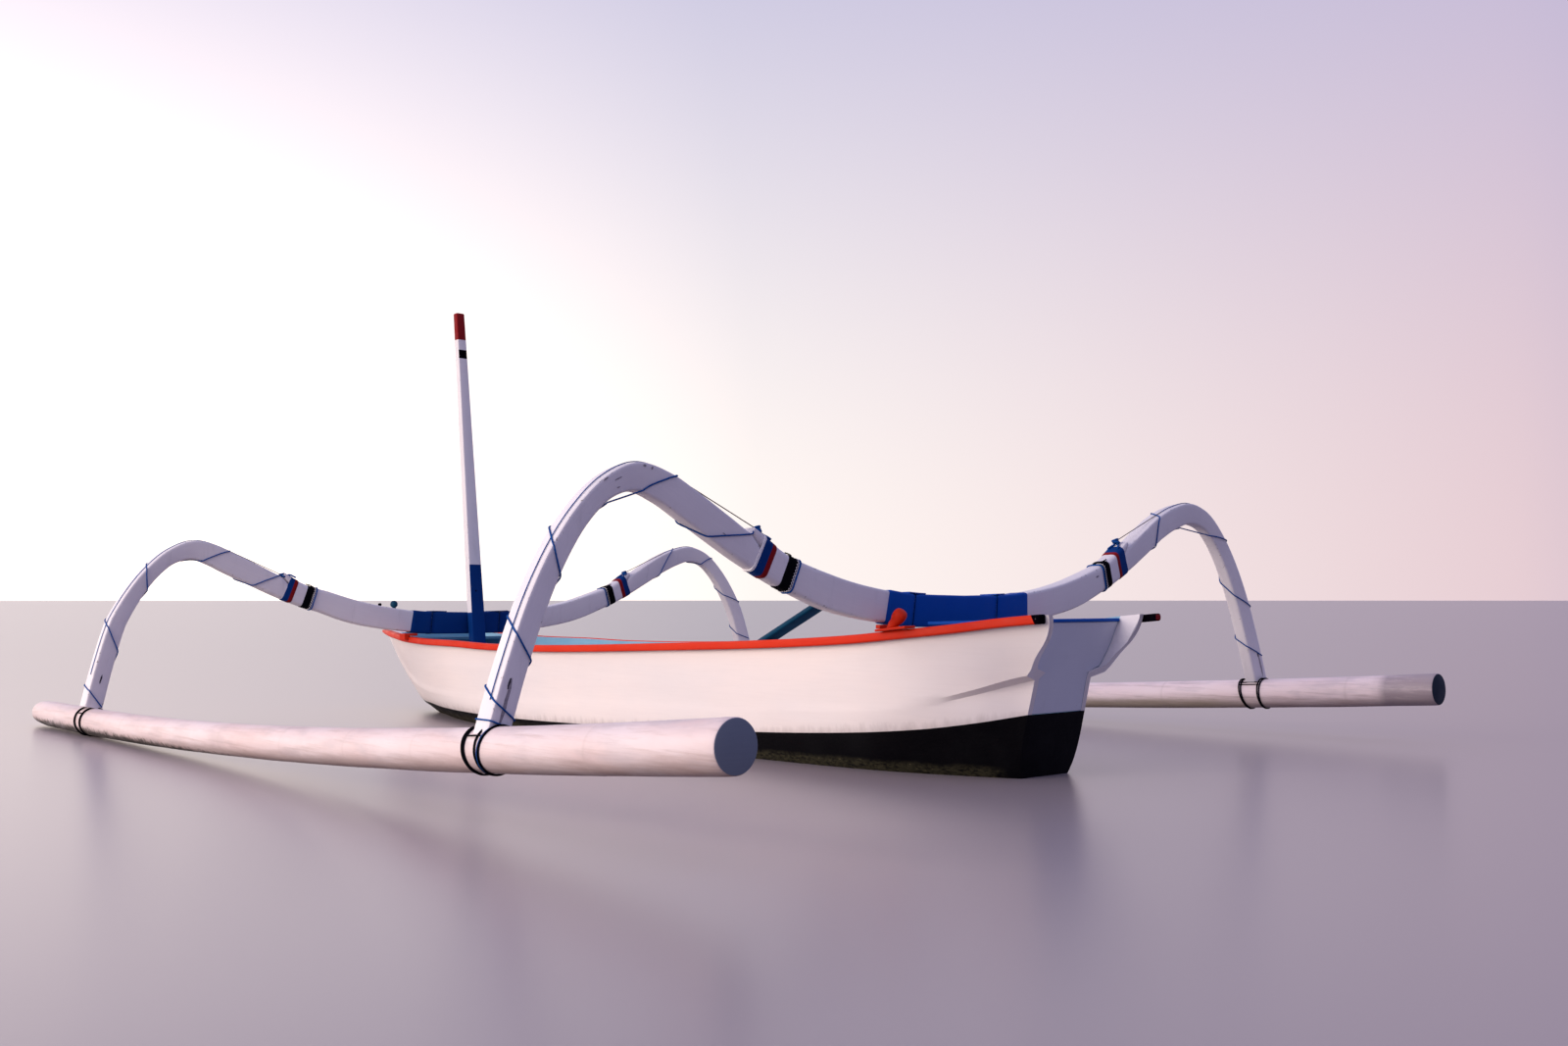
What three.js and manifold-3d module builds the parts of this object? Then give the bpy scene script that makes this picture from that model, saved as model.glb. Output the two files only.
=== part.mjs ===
// Double-outrigger sailing canoe, afloat, in millimetres.
// +X runs to the bow, +Y to port and +Z up. The origin is on the water, on the centreline,
// midway between the two cross beams. The boat is built level and then trimmed by the bow.
import * as THREE from 'three';
import { mergeVertices } from 'three/addons/utils/BufferGeometryUtils.js';
import Module from 'manifold-3d';

const wasm = await Module();
wasm.setup();

// Driving dimensions
const TRIM = THREE.MathUtils.degToRad(1.7);
const GAP = 0.3;
const BEAM_X = 1890;
const WALL = 24;
const FLOOR = 45;
const BEAM_HALF_WIDTH = 43;
const INNER_HALF_WIDTH = 28;
const EDGE = 9;
const COLLAR_EDGE = 10;
const COVER = 5;
const LAP_PROUD = 24;
const WRAP = 3;
const STERN_THICKNESS = 40;
const FLOAT_FORE = 2720;
const TOE_IN = 0.0159;
const RAIL_WIDTH = 34;
const RAIL_HEIGHT = 34;
const RAIL_PROUD = 4;
const BEAK_HALF_WIDTH = 16;
const MAST_TOP = 2408;

// Colours
function paint(hex, roughness = 0.55) {
  return new THREE.MeshStandardMaterial({ color: hex, roughness, metalness: 0 });
}
const WHITE = paint(0xdcd3d6);
const BLACK = paint(0x0c0d10);
const ROYAL = paint(0x12356f);
const SKY = paint(0x6fa3bd);
const ORANGE = paint(0xd0452a);
const TEAL = paint(0x14586b);
const DARK_ROPE = paint(0x20242c, 0.9);
const BLUE_ROPE = paint(0x1d4fa0, 0.8);
const BARE_WOOD = paint(0x8b7358, 0.8);

const boat = new THREE.Group();
boat.rotation.y = TRIM;

function add(name, geometry, material) {
  const mesh = new THREE.Mesh(geometry, material.clone());
  mesh.name = name;
  boat.add(mesh);
}

// Solids from rings, and the joins and cuts between them

// A closed body through rings of the same number of points, with flat ends.
function loft(rings) {
  const count = rings[0].length;
  const positions = rings.flat().flatMap((p) => [p.x, p.y, p.z]);
  const faces = [];
  for (let i = 0; i + 1 < rings.length; i++) {
    for (let j = 0; j < count; j++) {
      const a = i * count + j;
      const b = i * count + ((j + 1) % count);
      faces.push(a, b, b + count, a, b + count, a + count);
    }
  }
  const last = (rings.length - 1) * count;
  for (const [a, b, c] of capTriangles(rings[0])) faces.push(a, c, b);
  for (const [a, b, c] of capTriangles(rings[rings.length - 1])) faces.push(last + a, last + b, last + c);
  if (volume(positions, faces) < 0) faces.reverse();
  const geometry = new THREE.BufferGeometry();
  geometry.setAttribute('position', new THREE.Float32BufferAttribute(positions, 3));
  geometry.setIndex(faces);
  return geometry;
}

// Six times the volume inside the faces, negative where they point inwards.
function volume(positions, faces) {
  const corner = (i) => new THREE.Vector3().fromArray(positions, faces[i] * 3);
  let sum = 0;
  for (let i = 0; i < faces.length; i += 3) sum += corner(i).dot(corner(i + 1).cross(corner(i + 2)));
  return sum;
}

// Flat triangles over a ring, in the plane that the ring lies in.
function capTriangles(ring) {
  const normal = new THREE.Vector3();
  ring.forEach((p, j) => normal.add(new THREE.Vector3().crossVectors(p, ring[(j + 1) % ring.length])));
  normal.normalize();
  const across = new THREE.Vector3().subVectors(ring[1], ring[0]).normalize();
  const up = new THREE.Vector3().crossVectors(normal, across);
  const flat = ring.map((p) => new THREE.Vector2(p.dot(across), p.dot(up)));
  return THREE.ShapeUtils.triangulateShape(flat, []);
}

function solid(geometry) {
  const plain = geometry.clone();
  plain.deleteAttribute('normal');
  plain.deleteAttribute('uv');
  const merged = mergeVertices(plain, 1e-4);
  const mesh = new wasm.Mesh({
    numProp: 3,
    vertProperties: new Float32Array(merged.attributes.position.array),
    triVerts: new Uint32Array(merged.index.array),
  });
  return new wasm.Manifold(mesh);
}

function surface(body) {
  const mesh = body.getMesh();
  const geometry = new THREE.BufferGeometry();
  geometry.setAttribute('position', new THREE.BufferAttribute(new Float32Array(mesh.vertProperties), 3));
  geometry.setIndex(new THREE.BufferAttribute(new Uint32Array(mesh.triVerts), 1));
  return geometry;
}

const blend = (a, b, t) => a + (b - a) * t;
const clamp01 = (t) => Math.min(Math.max(t, 0), 1);

function box(low, high) {
  const geometry = new THREE.BoxGeometry(high[0] - low[0], high[1] - low[1], high[2] - low[2]);
  geometry.translate((low[0] + high[0]) / 2, (low[1] + high[1]) / 2, (low[2] + high[2]) / 2);
  return geometry;
}

// An outline of [x, z] points drawn in the centre plane and extruded from one y to another.
function plate(outline, yLow, yHigh) {
  const shape = new THREE.Shape(outline.map(([x, z]) => new THREE.Vector2(x, z)));
  const geometry = new THREE.ExtrudeGeometry(shape, { depth: yHigh - yLow, bevelEnabled: false });
  geometry.rotateX(Math.PI / 2);
  geometry.translate(0, yHigh, 0);
  return geometry;
}

// Hull lines: one row for each station, from the stern wings to the stem
// columns: x, sheer z, sheer y, crease z, crease y, crease step, paint z, paint y, bilge z, bilge y, keel z
const STATION_COLUMNS = [
  'x', 'sheerZ', 'sheerY', 'creaseZ', 'creaseY', 'step', 'paintZ', 'paintY', 'bilgeZ', 'bilgeY', 'keelZ',
];
const STATIONS = [
  [-2640, 538, 278, 330, 216, 76, 200, 124, 30, 106, -98],
  [-2400, 524, 326, 308, 243, 72, 176, 159, 8, 140, -126],
  [-2200, 505, 371, 255, 312, 32, 142, 264, -40, 200, -160],
  [-2000, 490, 408, 212, 368, 5, 117, 335, -60, 262, -180],
  [-1700, 471, 435, 195, 405, 0, 97, 388, -70, 332, -200],
  [-1200, 458, 448, 185, 426, 0, 82, 415, -80, 372, -215],
  [-500, 452, 452, 180, 434, 0, 76, 426, -85, 388, -220],
  [300, 450, 451, 180, 430, 0, 77, 420, -80, 378, -215],
  [900, 462, 438, 182, 412, 0, 86, 396, -62, 330, -190],
  [1300, 482, 417, 190, 378, 0, 99, 354, -30, 250, -140],
  [1650, 495, 389, 205, 330, 0, 112, 288, 15, 175, -70],
  [1950, 513, 346, 230, 264, 0, 129, 205, 62, 115, 8],
  [2200, 536, 281, 270, 186, 0, 145, 122, 108, 72, 75],
  [2420, 549, 206, 330, 116, 0, 220, 60, 185, 34, 158],
  [2600, 554, 130, 410, 68, 0, 330, 34, 310, 22, 296],
  [2740, 557, 64, 490, 34, 0, 445, 20, 436, 15, 428],
  [2840, 560, 16, 548, 13, 0, 542, 10, 539, 7, 536],
];

function station(x) {
  const last = STATIONS.length - 2;
  const i = Math.min(Math.max(STATIONS.filter((row) => row[0] <= x).length - 1, 0), last);
  const row = (k) => STATIONS[Math.min(Math.max(k, 0), last + 1)];
  const t = (x - row(i)[0]) / (row(i + 1)[0] - row(i)[0]);
  const at = { x };
  STATION_COLUMNS.forEach((name, c) => {
    if (c === 0) return;
    const slope = (k) => {
      const low = row(Math.max(k - 1, 0));
      const high = row(k + 1);
      return (high[c] - low[c]) / (high[0] - low[0]);
    };
    const width = row(i + 1)[0] - row(i)[0];
    const h = t * t * (3 - 2 * t);
    at[name] = blend(row(i)[c], row(i + 1)[c], h)
      + width * (t * (1 - t) ** 2 * slope(i) - t * t * (1 - t) * slope(i + 1));
  });
  return at;
}

// Half section from the keel up to the sheer, as [y, z], drawn in by inset for the hollow inside.
function halfSection(s, inset) {
  const inside = inset > 0;
  const keelZ = s.keelZ + (inside ? FLOOR + inset - WALL : 0);
  const lift = inside ? 22 + inset - WALL : 0;
  const middleY = blend(s.creaseY, s.sheerY, 0.55);
  const middleZ = blend(s.creaseZ, s.sheerZ, 0.5);
  const top = inside ? 400 : 0;
  const narrow = (y) => Math.max(y - inset, 4);
  return [
    [0, keelZ],
    [narrow(s.bilgeY * 0.62), blend(keelZ, s.bilgeZ + lift, 0.32)],
    [narrow(s.bilgeY), s.bilgeZ + lift],
    [narrow(s.paintY), Math.max(s.paintZ, s.bilgeZ + lift + 4)],
    [narrow(s.creaseY - s.step), s.creaseZ - 10 + lift],
    [narrow(s.creaseY), s.creaseZ + 6 + lift],
    [narrow(middleY), middleZ],
    [narrow(s.sheerY), s.sheerZ + top],
  ];
}

function hullBody(xs, inset) {
  return loft(xs.map((x) => {
    const half = halfSection(station(x), inset);
    const port = half.slice(1).map(([y, z]) => new THREE.Vector3(x, y, z));
    const starboard = half.map(([y, z]) => new THREE.Vector3(x, -y, z));
    return [...starboard.reverse(), ...port];
  }));
}

function steps(from, to, count) {
  return Array.from({ length: count + 1 }, (_, i) => blend(from, to, i / count));
}

const STERN_END = -2640;
const STEM_END = 2840;
const WELL_FORE = 2230;
const RAIL_AFT = { port: -2585, starboard: -2630 };
const RAIL_FORE = 2770;
const hullXs = [STERN_END, RAIL_AFT.starboard, RAIL_AFT.port, ...steps(-2440, 2600, 18), RAIL_FORE, STEM_END];
const outerHull = solid(hullBody(hullXs, 0));
const insideXs = steps(STERN_END - 10, WELL_FORE, 18);
const wellThroughStern = solid(hullBody(insideXs, WALL));

// The paint line splits the black dugout from the white sides.
function paintCutter(low, high) {
  return solid(loft(steps(-2700, 2900, 32).map((x) => {
    const z = x > 2420 ? 160 : station(x).paintZ - clamp01((x - 2200) / 220) * 62;
    const bottom = low ?? z + GAP;
    const top = high ?? z;
    const corners = [[-700, bottom], [700, bottom], [700, top], [-700, top]];
    return corners.map(([y, zz]) => new THREE.Vector3(x, y, zz));
  })));
}

// The stern: a raked face up to the crease, then S-shaped wings beside the transom
const RAKE = 0.275;
const sternFace = (z) => -2316 - RAKE * z;
const wingCurve = new THREE.SplineCurve([
  [-2412, 306], [-2432, 330], [-2470, 380], [-2528, 440], [-2556, 490], [-2565, 540],
].map(([x, z]) => new THREE.Vector2(x, z)));
const sternOutline = [
  [sternFace(-400), -400],
  [sternFace(306), 306],
  ...wingCurve.getPoints(12).slice(1).map((p) => [p.x, p.y]),
  [-2565, 900],
  [3000, 900],
  [3000, -400],
];
const sternCut = solid(plate(sternOutline, -700, 700));
// A slab behind the raked stern face, between two distances from it.
const sternSlab = (from, to, zLow, zHigh) => solid(plate([
  [sternFace(zLow) + from, zLow],
  [sternFace(zHigh) + from, zHigh],
  [sternFace(zHigh) + to, zHigh],
  [sternFace(zLow) + to, zLow],
], -700, 700));

const cutHull = outerHull.intersect(sternCut);
const well = wellThroughStern.intersect(sternSlab(STERN_THICKNESS, 6000, -400, 1000));
const dugout = cutHull.intersect(paintCutter(-400, null)).subtract(well);
const topsides = cutHull.intersect(paintCutter(null, 900)).subtract(wellThroughStern);
const stemCut = solid(box([WELL_FORE + 40, -700, -400], [3000, 700, 900]));
const sternHalf = (side) => solid(box(
  [-3000, side > 0 ? GAP / 2 : -700, -400],
  [WELL_FORE + 40 - GAP, side > 0 ? 700 : -GAP / 2, 900],
));

// The bottom is scarfed from five lengths, which meet under the aft beam and the thwarts.
const DUGOUT_LENGTHS = [
  // name, aft end, fore end
  ['dugout_stern', -3000, -1875],
  ['dugout_aft', -1875, -950],
  ['dugout_middle', -950, 300],
  ['dugout_fore', 300, 1200],
  ['dugout_bow', 1200, 3000],
];
for (const [name, from, to] of DUGOUT_LENGTHS) {
  const length = solid(box([from + GAP / 2, -700, -400], [to - GAP / 2, 700, 900]));
  add(name, surface(dugout.intersect(length)), BLACK);
}
add('side_port', surface(topsides.intersect(sternHalf(1))), WHITE);
add('side_starboard', surface(topsides.intersect(sternHalf(-1))), WHITE);
add('stem_block', surface(topsides.intersect(stemCut)), WHITE);

// Transom between the wings, with a blue stern board on top
const innerFit = solid(hullBody(insideXs, WALL + GAP));
const transom = innerFit
  .intersect(sternSlab(0, STERN_THICKNESS, 100, 508))
  .intersect(paintCutter(null, 900));
add('transom', surface(transom), WHITE);
const sternBoard = innerFit.intersect(solid(box([sternFace(520) - 4, -700, 508 + GAP], [-2060, 700, 521])));
add('stern_board', surface(sternBoard), ROYAL);

// Foredeck, thwarts and mast step inside the hull
const foredeck = innerFit.intersect(solid(box([1990, -700, 490], [WELL_FORE - GAP, 700, 506])));
add('foredeck', surface(foredeck), SKY);
const THWARTS = [
  // name, x, half length along the boat, top z
  ['thwart_aft', -950, 90, 446],
  ['thwart_middle', 300, 100, 300],
  ['thwart_fore', 1200, 90, 330],
];
for (const [name, x, half, top] of THWARTS) {
  const board = innerFit.intersect(solid(box([x - half, -700, top - 22], [x + half, 700, top])));
  add(name, surface(board), SKY);
}

// Gunwale rails outside the sheer, on the hull's own stations
function railRing(x, side) {
  const s = station(x);
  const ahead = station(x + 5);
  const skew = Math.hypot(1, (ahead.sheerY - s.sheerY) / 5);
  const profile = [
    [GAP, RAIL_PROUD - RAIL_HEIGHT],
    [RAIL_WIDTH - 6, RAIL_PROUD - RAIL_HEIGHT],
    [RAIL_WIDTH, 12 - RAIL_HEIGHT],
    [RAIL_WIDTH, -6],
    [RAIL_WIDTH - 8, RAIL_PROUD],
    [GAP, RAIL_PROUD],
  ];
  return profile.map(([out, up]) => new THREE.Vector3(x, side * (s.sheerY + out * skew), s.sheerZ + up));
}
// Height of the rail's top face, which runs straight from station to station.
function railTop(x) {
  const i = hullXs.findIndex((end) => end > x);
  const [a, b] = [hullXs[i - 1], hullXs[i]];
  return blend(station(a).sheerZ, station(b).sheerZ, (x - a) / (b - a)) + RAIL_PROUD;
}
const SIDES = [['port', 1], ['starboard', -1]];
// Each rail is scarfed from three lengths, which meet at hull stations.
for (const [sideName, side] of SIDES) {
  const ends = [RAIL_AFT[sideName], -1040, 920, RAIL_FORE];
  ['aft', 'middle', 'fore'].forEach((name, i) => {
    const between = hullXs.filter((x) => x > ends[i] + 1 && x < ends[i + 1] - 1);
    const xs = [ends[i] + GAP / 2, ...between, ends[i + 1] - GAP / 2];
    add(`rail_${sideName}_${name}`, loft(xs.map((x) => railRing(x, side))), ORANGE);
  });
}

// Beams and arms: one spine from the centreline out to the foot
// columns: y, z, depth
const SPINE = [
  [0, 562, 114],
  [300, 568, 117],
  [440, 582, 120],
  [600, 605, 123],
  [735, 634, 125],
  [870, 676, 121],
  [985, 718, 117],
  [1070, 754, 113],
  [1149, 791, 110],
  [1255, 850, 109],
  [1385, 923, 110],
  [1500, 983, 106],
  [1612, 1012, 95],
  [1725, 974, 78],
  [1825, 887, 75],
  [1915, 766, 80],
  [2005, 597, 86],
  [2090, 380, 89],
  [2126, 274, 90],
  [2162, 165, 90],
  [2200, 50, 90],
];
const spineCurve = new THREE.CatmullRomCurve3(
  SPINE.map(([y, z, depth]) => new THREE.Vector3(y, z, depth)),
);
const FRAMES = [
  // name, x, lift of the beam, ends of its cover
  ['aft', -BEAM_X, 0, -399, 446],
  ['fore', BEAM_X, 24, -420, 379],
];
// Each arm was bent and lashed by eye: the lift of its crown, how far its crown and foot stand
// further out, the lap's two ends, and the two ends of its black and its blue wrap
const ARMS = {
  aft_port: { lift: 0, crown: 0, foot: 0, lap: [955, 1147], black: [921, 969], blue: [1030, 1085] },
  aft_starboard: { lift: 5, crown: 88, foot: 88, lap: [987, 1162], black: [953, 999], blue: [1058, 1122] },
  fore_port: { lift: -36, crown: 1, foot: -51, lap: [1002, 1160], black: [968, 1015], blue: [1071, 1121] },
  fore_starboard: { lift: 9, crown: 64, foot: 30, lap: [1015, 1184], black: [981, 1032], blue: [1087, 1147] },
};
const armOf = (y, frame) => ARMS[`${frame[0]}_${y > 0 ? 'port' : 'starboard'}`];

// The spine's point, depth and slope at a distance from the centreline, port side positive.
function spineAt(yWanted, frame) {
  const beamLift = frame[2];
  const arm = armOf(yWanted, frame);
  const shifted = (t) => {
    const p = spineCurve.getPoint(t);
    const outwards = arm.crown * clamp01((p.x - 1400) / 300)
      + (arm.foot - arm.crown) * clamp01((p.x - 1985) / 175);
    return { y: p.x + outwards, z: p.y + blend(beamLift, arm.lift, clamp01((p.x - 900) / 550)), depth: p.z };
  };
  const target = Math.abs(yWanted);
  let low = 0;
  let high = 1;
  for (let i = 0; i < 40; i++) {
    const middle = (low + high) / 2;
    if (shifted(middle).y < target) low = middle;
    else high = middle;
  }
  return { ...shifted(low), y: yWanted };
}

// The beam's end stands a little proud of the arm's top where it laps over it.
const proud = (y, frame) => LAP_PROUD * clamp01((Math.abs(y) - armOf(y, frame).lap[0] - 30) / 130);
// The cut between beam and arm slopes from low on the inside to the arm's top on the outside.
function scarf(y, frame, c) {
  const [inner, outer] = armOf(y, frame).lap;
  return c.depth * blend(-0.2, 0.5, clamp01((Math.abs(y) - inner) / (outer - inner)));
}

// Rings across the spine, wide on the outer face and narrow on the inner one. grow widens every
// face, and under or over limit the ring to one side of the scarf.
function spineBody(ys, frame, { grow = 0, lapped = false, under = false, over = false } = {}) {
  const x = frame[1];
  return loft(ys.map((y) => {
    const c = spineAt(y, frame);
    const p = spineAt(y + 2, frame);
    const n = new THREE.Vector2(-(p.z - c.z), p.y - c.y).normalize();
    let top = c.depth / 2 + grow + (lapped ? proud(y, frame) : 0);
    let bottom = -c.depth / 2 - grow;
    let topHalf = BEAM_HALF_WIDTH + grow;
    let bottomHalf = INNER_HALF_WIDTH + grow;
    if (under || over) {
      top = under ? scarf(y, frame, c) + GAP / 2 : 300;
      bottom = under ? -300 : scarf(y, frame, c) - GAP / 2;
      topHalf = 150;
      bottomHalf = 150;
    }
    const e = EDGE + COLLAR_EDGE * clamp01(1.6 - Math.abs(Math.abs(y) - armOf(y, frame).lap[0] - 45) / 150);
    const outline = [
      [-bottomHalf + e, bottom], [bottomHalf - e, bottom],
      [bottomHalf + 0.15 * e, bottom + e], [topHalf, top - e],
      [topHalf - e, top], [-topHalf + e, top],
      [-topHalf, top - e], [-bottomHalf - 0.15 * e, bottom + e],
    ];
    return outline.map(([across, up]) => new THREE.Vector3(x + across, c.y + n.x * up, c.z + n.y * up));
  }));
}

function armYs(inner, foot) {
  return [...steps(inner, 1500, 9), ...steps(1540, 1760, 7), ...steps(1800, foot, 8)];
}
const mirror = (ys, side) => (side > 0 ? ys : ys.map((y) => -y).reverse());

// Floats: long logs toed in to the bow, a little thicker aft, with both ends risen
const FLOATS = {
  // distance out amidships, aft end, rise of the ends
  port: { out: 2120, aft: -3043, rise: 8.9 },
  starboard: { out: 2210, aft: -2804, rise: 6.4 },
};
function floatAt(x, side) {
  const { out, rise } = FLOATS[side > 0 ? 'port' : 'starboard'];
  return {
    y: side * (out - TOE_IN * x),
    z: 106 + rise * (x / 1000 - 0.45) ** 2,
    radius: blend(73, 65, clamp01((x + 2900) / 2900)),
  };
}
function floatBody(side, grow, xs) {
  return loft(xs.map((x) => {
    const c = floatAt(x, side);
    const end = clamp01((FLOAT_FORE - x) / 190);
    const r = (c.radius + grow) * (0.78 + 0.22 * Math.sqrt(end));
    return Array.from({ length: 16 }, (_, k) => {
      const a = (k / 16) * Math.PI * 2;
      return new THREE.Vector3(x, c.y + r * Math.cos(a), c.z + r * Math.sin(a));
    });
  }));
}
const aftXs = (side) => steps(FLOATS[side > 0 ? 'port' : 'starboard'].aft, -GAP / 2, 7);
const foreXs = [...steps(GAP / 2, FLOAT_FORE - 240, 6), FLOAT_FORE - 110, FLOAT_FORE - 40, FLOAT_FORE];
const floatXs = (side) => [...aftXs(side), ...foreXs];
// Each float is two lengths butted amidships.
for (const [sideName, side] of SIDES) {
  add(`float_${sideName}_aft`, floatBody(side, 0, aftXs(side)), WHITE);
  add(`float_${sideName}_fore`, floatBody(side, 0, foreXs), WHITE);
}

const LOOPS = { port: [50, -28], starboard: [42, -53] };
const LOOP_HALF_WIDTH = 9;
const LOOP_SLANT = 0.3;
for (const frame of FRAMES) {
  const [end, x, , coverFrom, coverTo] = frame;
  const [starboardEnd, portEnd] = [armOf(-1, frame).lap[1], armOf(1, frame).lap[1]];
  const beamYs = steps(-starboardEnd, portEnd, 28);
  const fitYs = [-starboardEnd - GAP, ...beamYs, portEnd + GAP];
  let beam = solid(spineBody(beamYs, frame, { lapped: true }));
  const beamFit = solid(spineBody(fitYs, frame, { grow: GAP, lapped: true }));
  for (const [sideName, side] of SIDES) {
    const foot = Math.abs(floatAt(x, side).y) + 6;
    const { lap: [inner, outer], black, blue } = armOf(side, frame);
    const lapYs = steps(inner, outer, 4);
    const fit = solid(floatBody(side, GAP, floatXs(side)));
    const overYs = [inner - 20, ...lapYs.slice(0, -1), outer + GAP];
    const underLap = solid(spineBody(mirror([...lapYs, outer + 60], side), frame, { under: true }));
    const overLap = solid(spineBody(mirror(overYs, side), frame, { over: true }));
    beam = beam.subtract(underLap);
    const arm = solid(spineBody(mirror(armYs(inner + 2 * GAP, foot), side), frame))
      .subtract(overLap)
      .subtract(fit);
    const armFit = solid(spineBody(mirror([...armYs(inner, foot), foot + 8], side), frame, { grow: GAP }));
    const pieces = arm.decompose().sort((a, b) => b.volume() - a.volume());
    add(`arm_${end}_${sideName}`, surface(pieces[0]), WHITE);

    // Rope wraps round the lap
    const wraps = [
      // name, ends, material
      ['wrap_blue', blue, BLUE_ROPE],
      ['wrap_black', black, DARK_ROPE],
    ];
    for (const [wrapName, [from, to], material] of wraps) {
      const outside = solid(spineBody(mirror(steps(from, to, 2), side), frame, { grow: WRAP, lapped: true }));
      add(`${wrapName}_${end}_${sideName}`, surface(outside.subtract(beamFit).subtract(armFit)), material);
    }

    // Lashing of the foot: two loops slung round the float on a slant, tied across the leg
    const loops = LOOPS[sideName].map((along) => {
      const ring = floatBody(side, 10, [x + along - LOOP_HALF_WIDTH, x + along + LOOP_HALF_WIDTH]);
      const corners = ring.attributes.position;
      const middle = floatAt(x + along, side).z;
      for (let k = 0; k < corners.count; k++) {
        corners.setX(k, corners.getX(k) + LOOP_SLANT * (corners.getZ(k) - middle));
      }
      return solid(ring);
    });
    const at = floatAt(x, side);
    const tieY = at.y - side * 4;
    const tieZ = at.z + at.radius + 7;
    const strap = solid(box(
      [x - BEAM_HALF_WIDTH - 22, tieY - 56, tieZ - 8],
      [x + BEAM_HALF_WIDTH + 22, tieY + 56, tieZ + 8],
    ));
    const lashing = loops[0].add(loops[1]).add(strap)
      .subtract(armFit)
      .subtract(fit);
    const kept = lashing.decompose().sort((a, b) => b.volume() - a.volume());
    add(`foot_lashing_${end}_${sideName}`, surface(kept[0]), DARK_ROPE);
  }
  add(`beam_${end}`, surface(beam), WHITE);
  const coverYs = steps(coverFrom, coverTo, 12);
  const cover = solid(spineBody(coverYs, frame, { grow: COVER })).subtract(beamFit);
  add(`beam_cover_${end}`, surface(cover), ROYAL);
}

// Seats that carry the beams on the rails. The aft one is a thin plate that lies along the rail
// with a chock under the beam, the fore one a block with a lip outside the rail.
const PLATE = 10;
const PLATE_AFT = -2045;
const PLATE_FORE = -1889;
const CHOCK = [-1919, -1895];
const seatTop = (y, frame) => {
  const under = spineAt(y, frame);
  return under.z - under.depth / 2 - COVER - 1.5;
};
for (const [sideName, side] of SIDES) {
  const [aftFrame, foreFrame] = FRAMES;
  const aftY = station(aftFrame[1]).sheerY;
  const across = [side * (aftY + 2), side * (aftY + 62)].sort((a, b) => a - b);
  const line = (x, up) => [x, railTop(x) + GAP + up];
  const chockTop = seatTop(side * (aftY + 2), aftFrame);
  add(`beam_seat_aft_${sideName}`, plate([
    line(PLATE_AFT, 0), line(PLATE_FORE, 0), line(PLATE_FORE, PLATE), line(CHOCK[1], PLATE),
    [CHOCK[1], chockTop], [CHOCK[0], chockTop], line(CHOCK[0], PLATE), line(PLATE_AFT, PLATE),
  ], ...across), ORANGE);

  const foreY = station(foreFrame[1]).sheerY;
  const [aft, fore, outer] = [BEAM_X - 31, BEAM_X + 31, foreY + 66];
  const low = Math.max(railTop(aft), railTop(fore)) + GAP;
  const top = seatTop(side * (foreY - 8), foreFrame);
  const spanning = (inner, bottom) => {
    const [right, left] = [side * inner, side * outer].sort((a, b) => a - b);
    return solid(box([aft, right, bottom], [fore, left, top]));
  };
  const block = spanning(foreY - 18, low).add(spanning(foreY + RAIL_WIDTH + 3, low - 22));
  add(`beam_seat_fore_${sideName}`, surface(block), ORANGE);
}

// Belaying knobs on the aft seats: a post raked aft with a rounded head
const KNOB = { x: -1952, out: 36, lean: THREE.MathUtils.degToRad(45), reach: 60, post: 20, head: 27 };
for (const [sideName, side] of SIDES) {
  const y = side * (station(-BEAM_X).sheerY + KNOB.out);
  const foot = railTop(KNOB.x) + PLATE + 2 * GAP;
  const post = new THREE.CylinderGeometry(KNOB.post, KNOB.post, KNOB.reach + 60, 14);
  post.rotateX(Math.PI / 2);
  post.translate(0, 0, (KNOB.reach - 60) / 2);
  post.rotateY(-KNOB.lean);
  post.translate(KNOB.x, y, foot);
  const head = new THREE.IcosahedronGeometry(KNOB.head, 2);
  head.translate(KNOB.x - KNOB.reach * Math.sin(KNOB.lean), y, foot + KNOB.reach * Math.cos(KNOB.lean));
  const [aftFoot, foreFoot] = [PLATE_AFT, PLATE_FORE].map((x) => [x, railTop(x) + PLATE + 2 * GAP]);
  const above = solid(plate([aftFoot, foreFoot, [PLATE_FORE, 900], [PLATE_AFT, 900]], -700, 700));
  add(`knob_${sideName}`, surface(solid(post).intersect(above).add(solid(head))), ORANGE);
}

// Beak on the stem head, with a ball finial
const sheerLine = steps(2570, 2836, 4).map((x) => [x, station(x).sheerZ + 2 * GAP]);
const beakTop = new THREE.SplineCurve([
  [3010, 712], [2930, 690], [2860, 684], [2780, 690], [2690, 655], [2620, 600], [2570, 572],
].map(([x, z]) => new THREE.Vector2(x, z)));
const beakFront = new THREE.SplineCurve([
  [2850, 566], [2880, 600], [2930, 650], [3016, 700],
].map(([x, z]) => new THREE.Vector2(x, z)));
add('beak', plate([
  ...sheerLine,
  ...beakFront.getPoints(6).map((p) => [p.x, p.y]),
  ...beakTop.getPoints(14).map((p) => [p.x, p.y]),
], -BEAK_HALF_WIDTH, BEAK_HALF_WIDTH), WHITE);
const BALL = 23;
const neck = [[0, -29], [11, -29], [11, -20]];
const ball = steps(-60, 90, 6).map((degrees) => {
  const a = THREE.MathUtils.degToRad(degrees);
  return [BALL * Math.cos(a), BALL * Math.sin(a)];
});
const profile = [...neck, ...ball].map(([r, z]) => new THREE.Vector2(Math.max(r, 0), z));
const finial = new THREE.LatheGeometry(profile, 10);
finial.rotateX(Math.PI / 2);
finial.translate(2780, 0, 719.5);
add('bow_finial', finial, TEAL);

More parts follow.
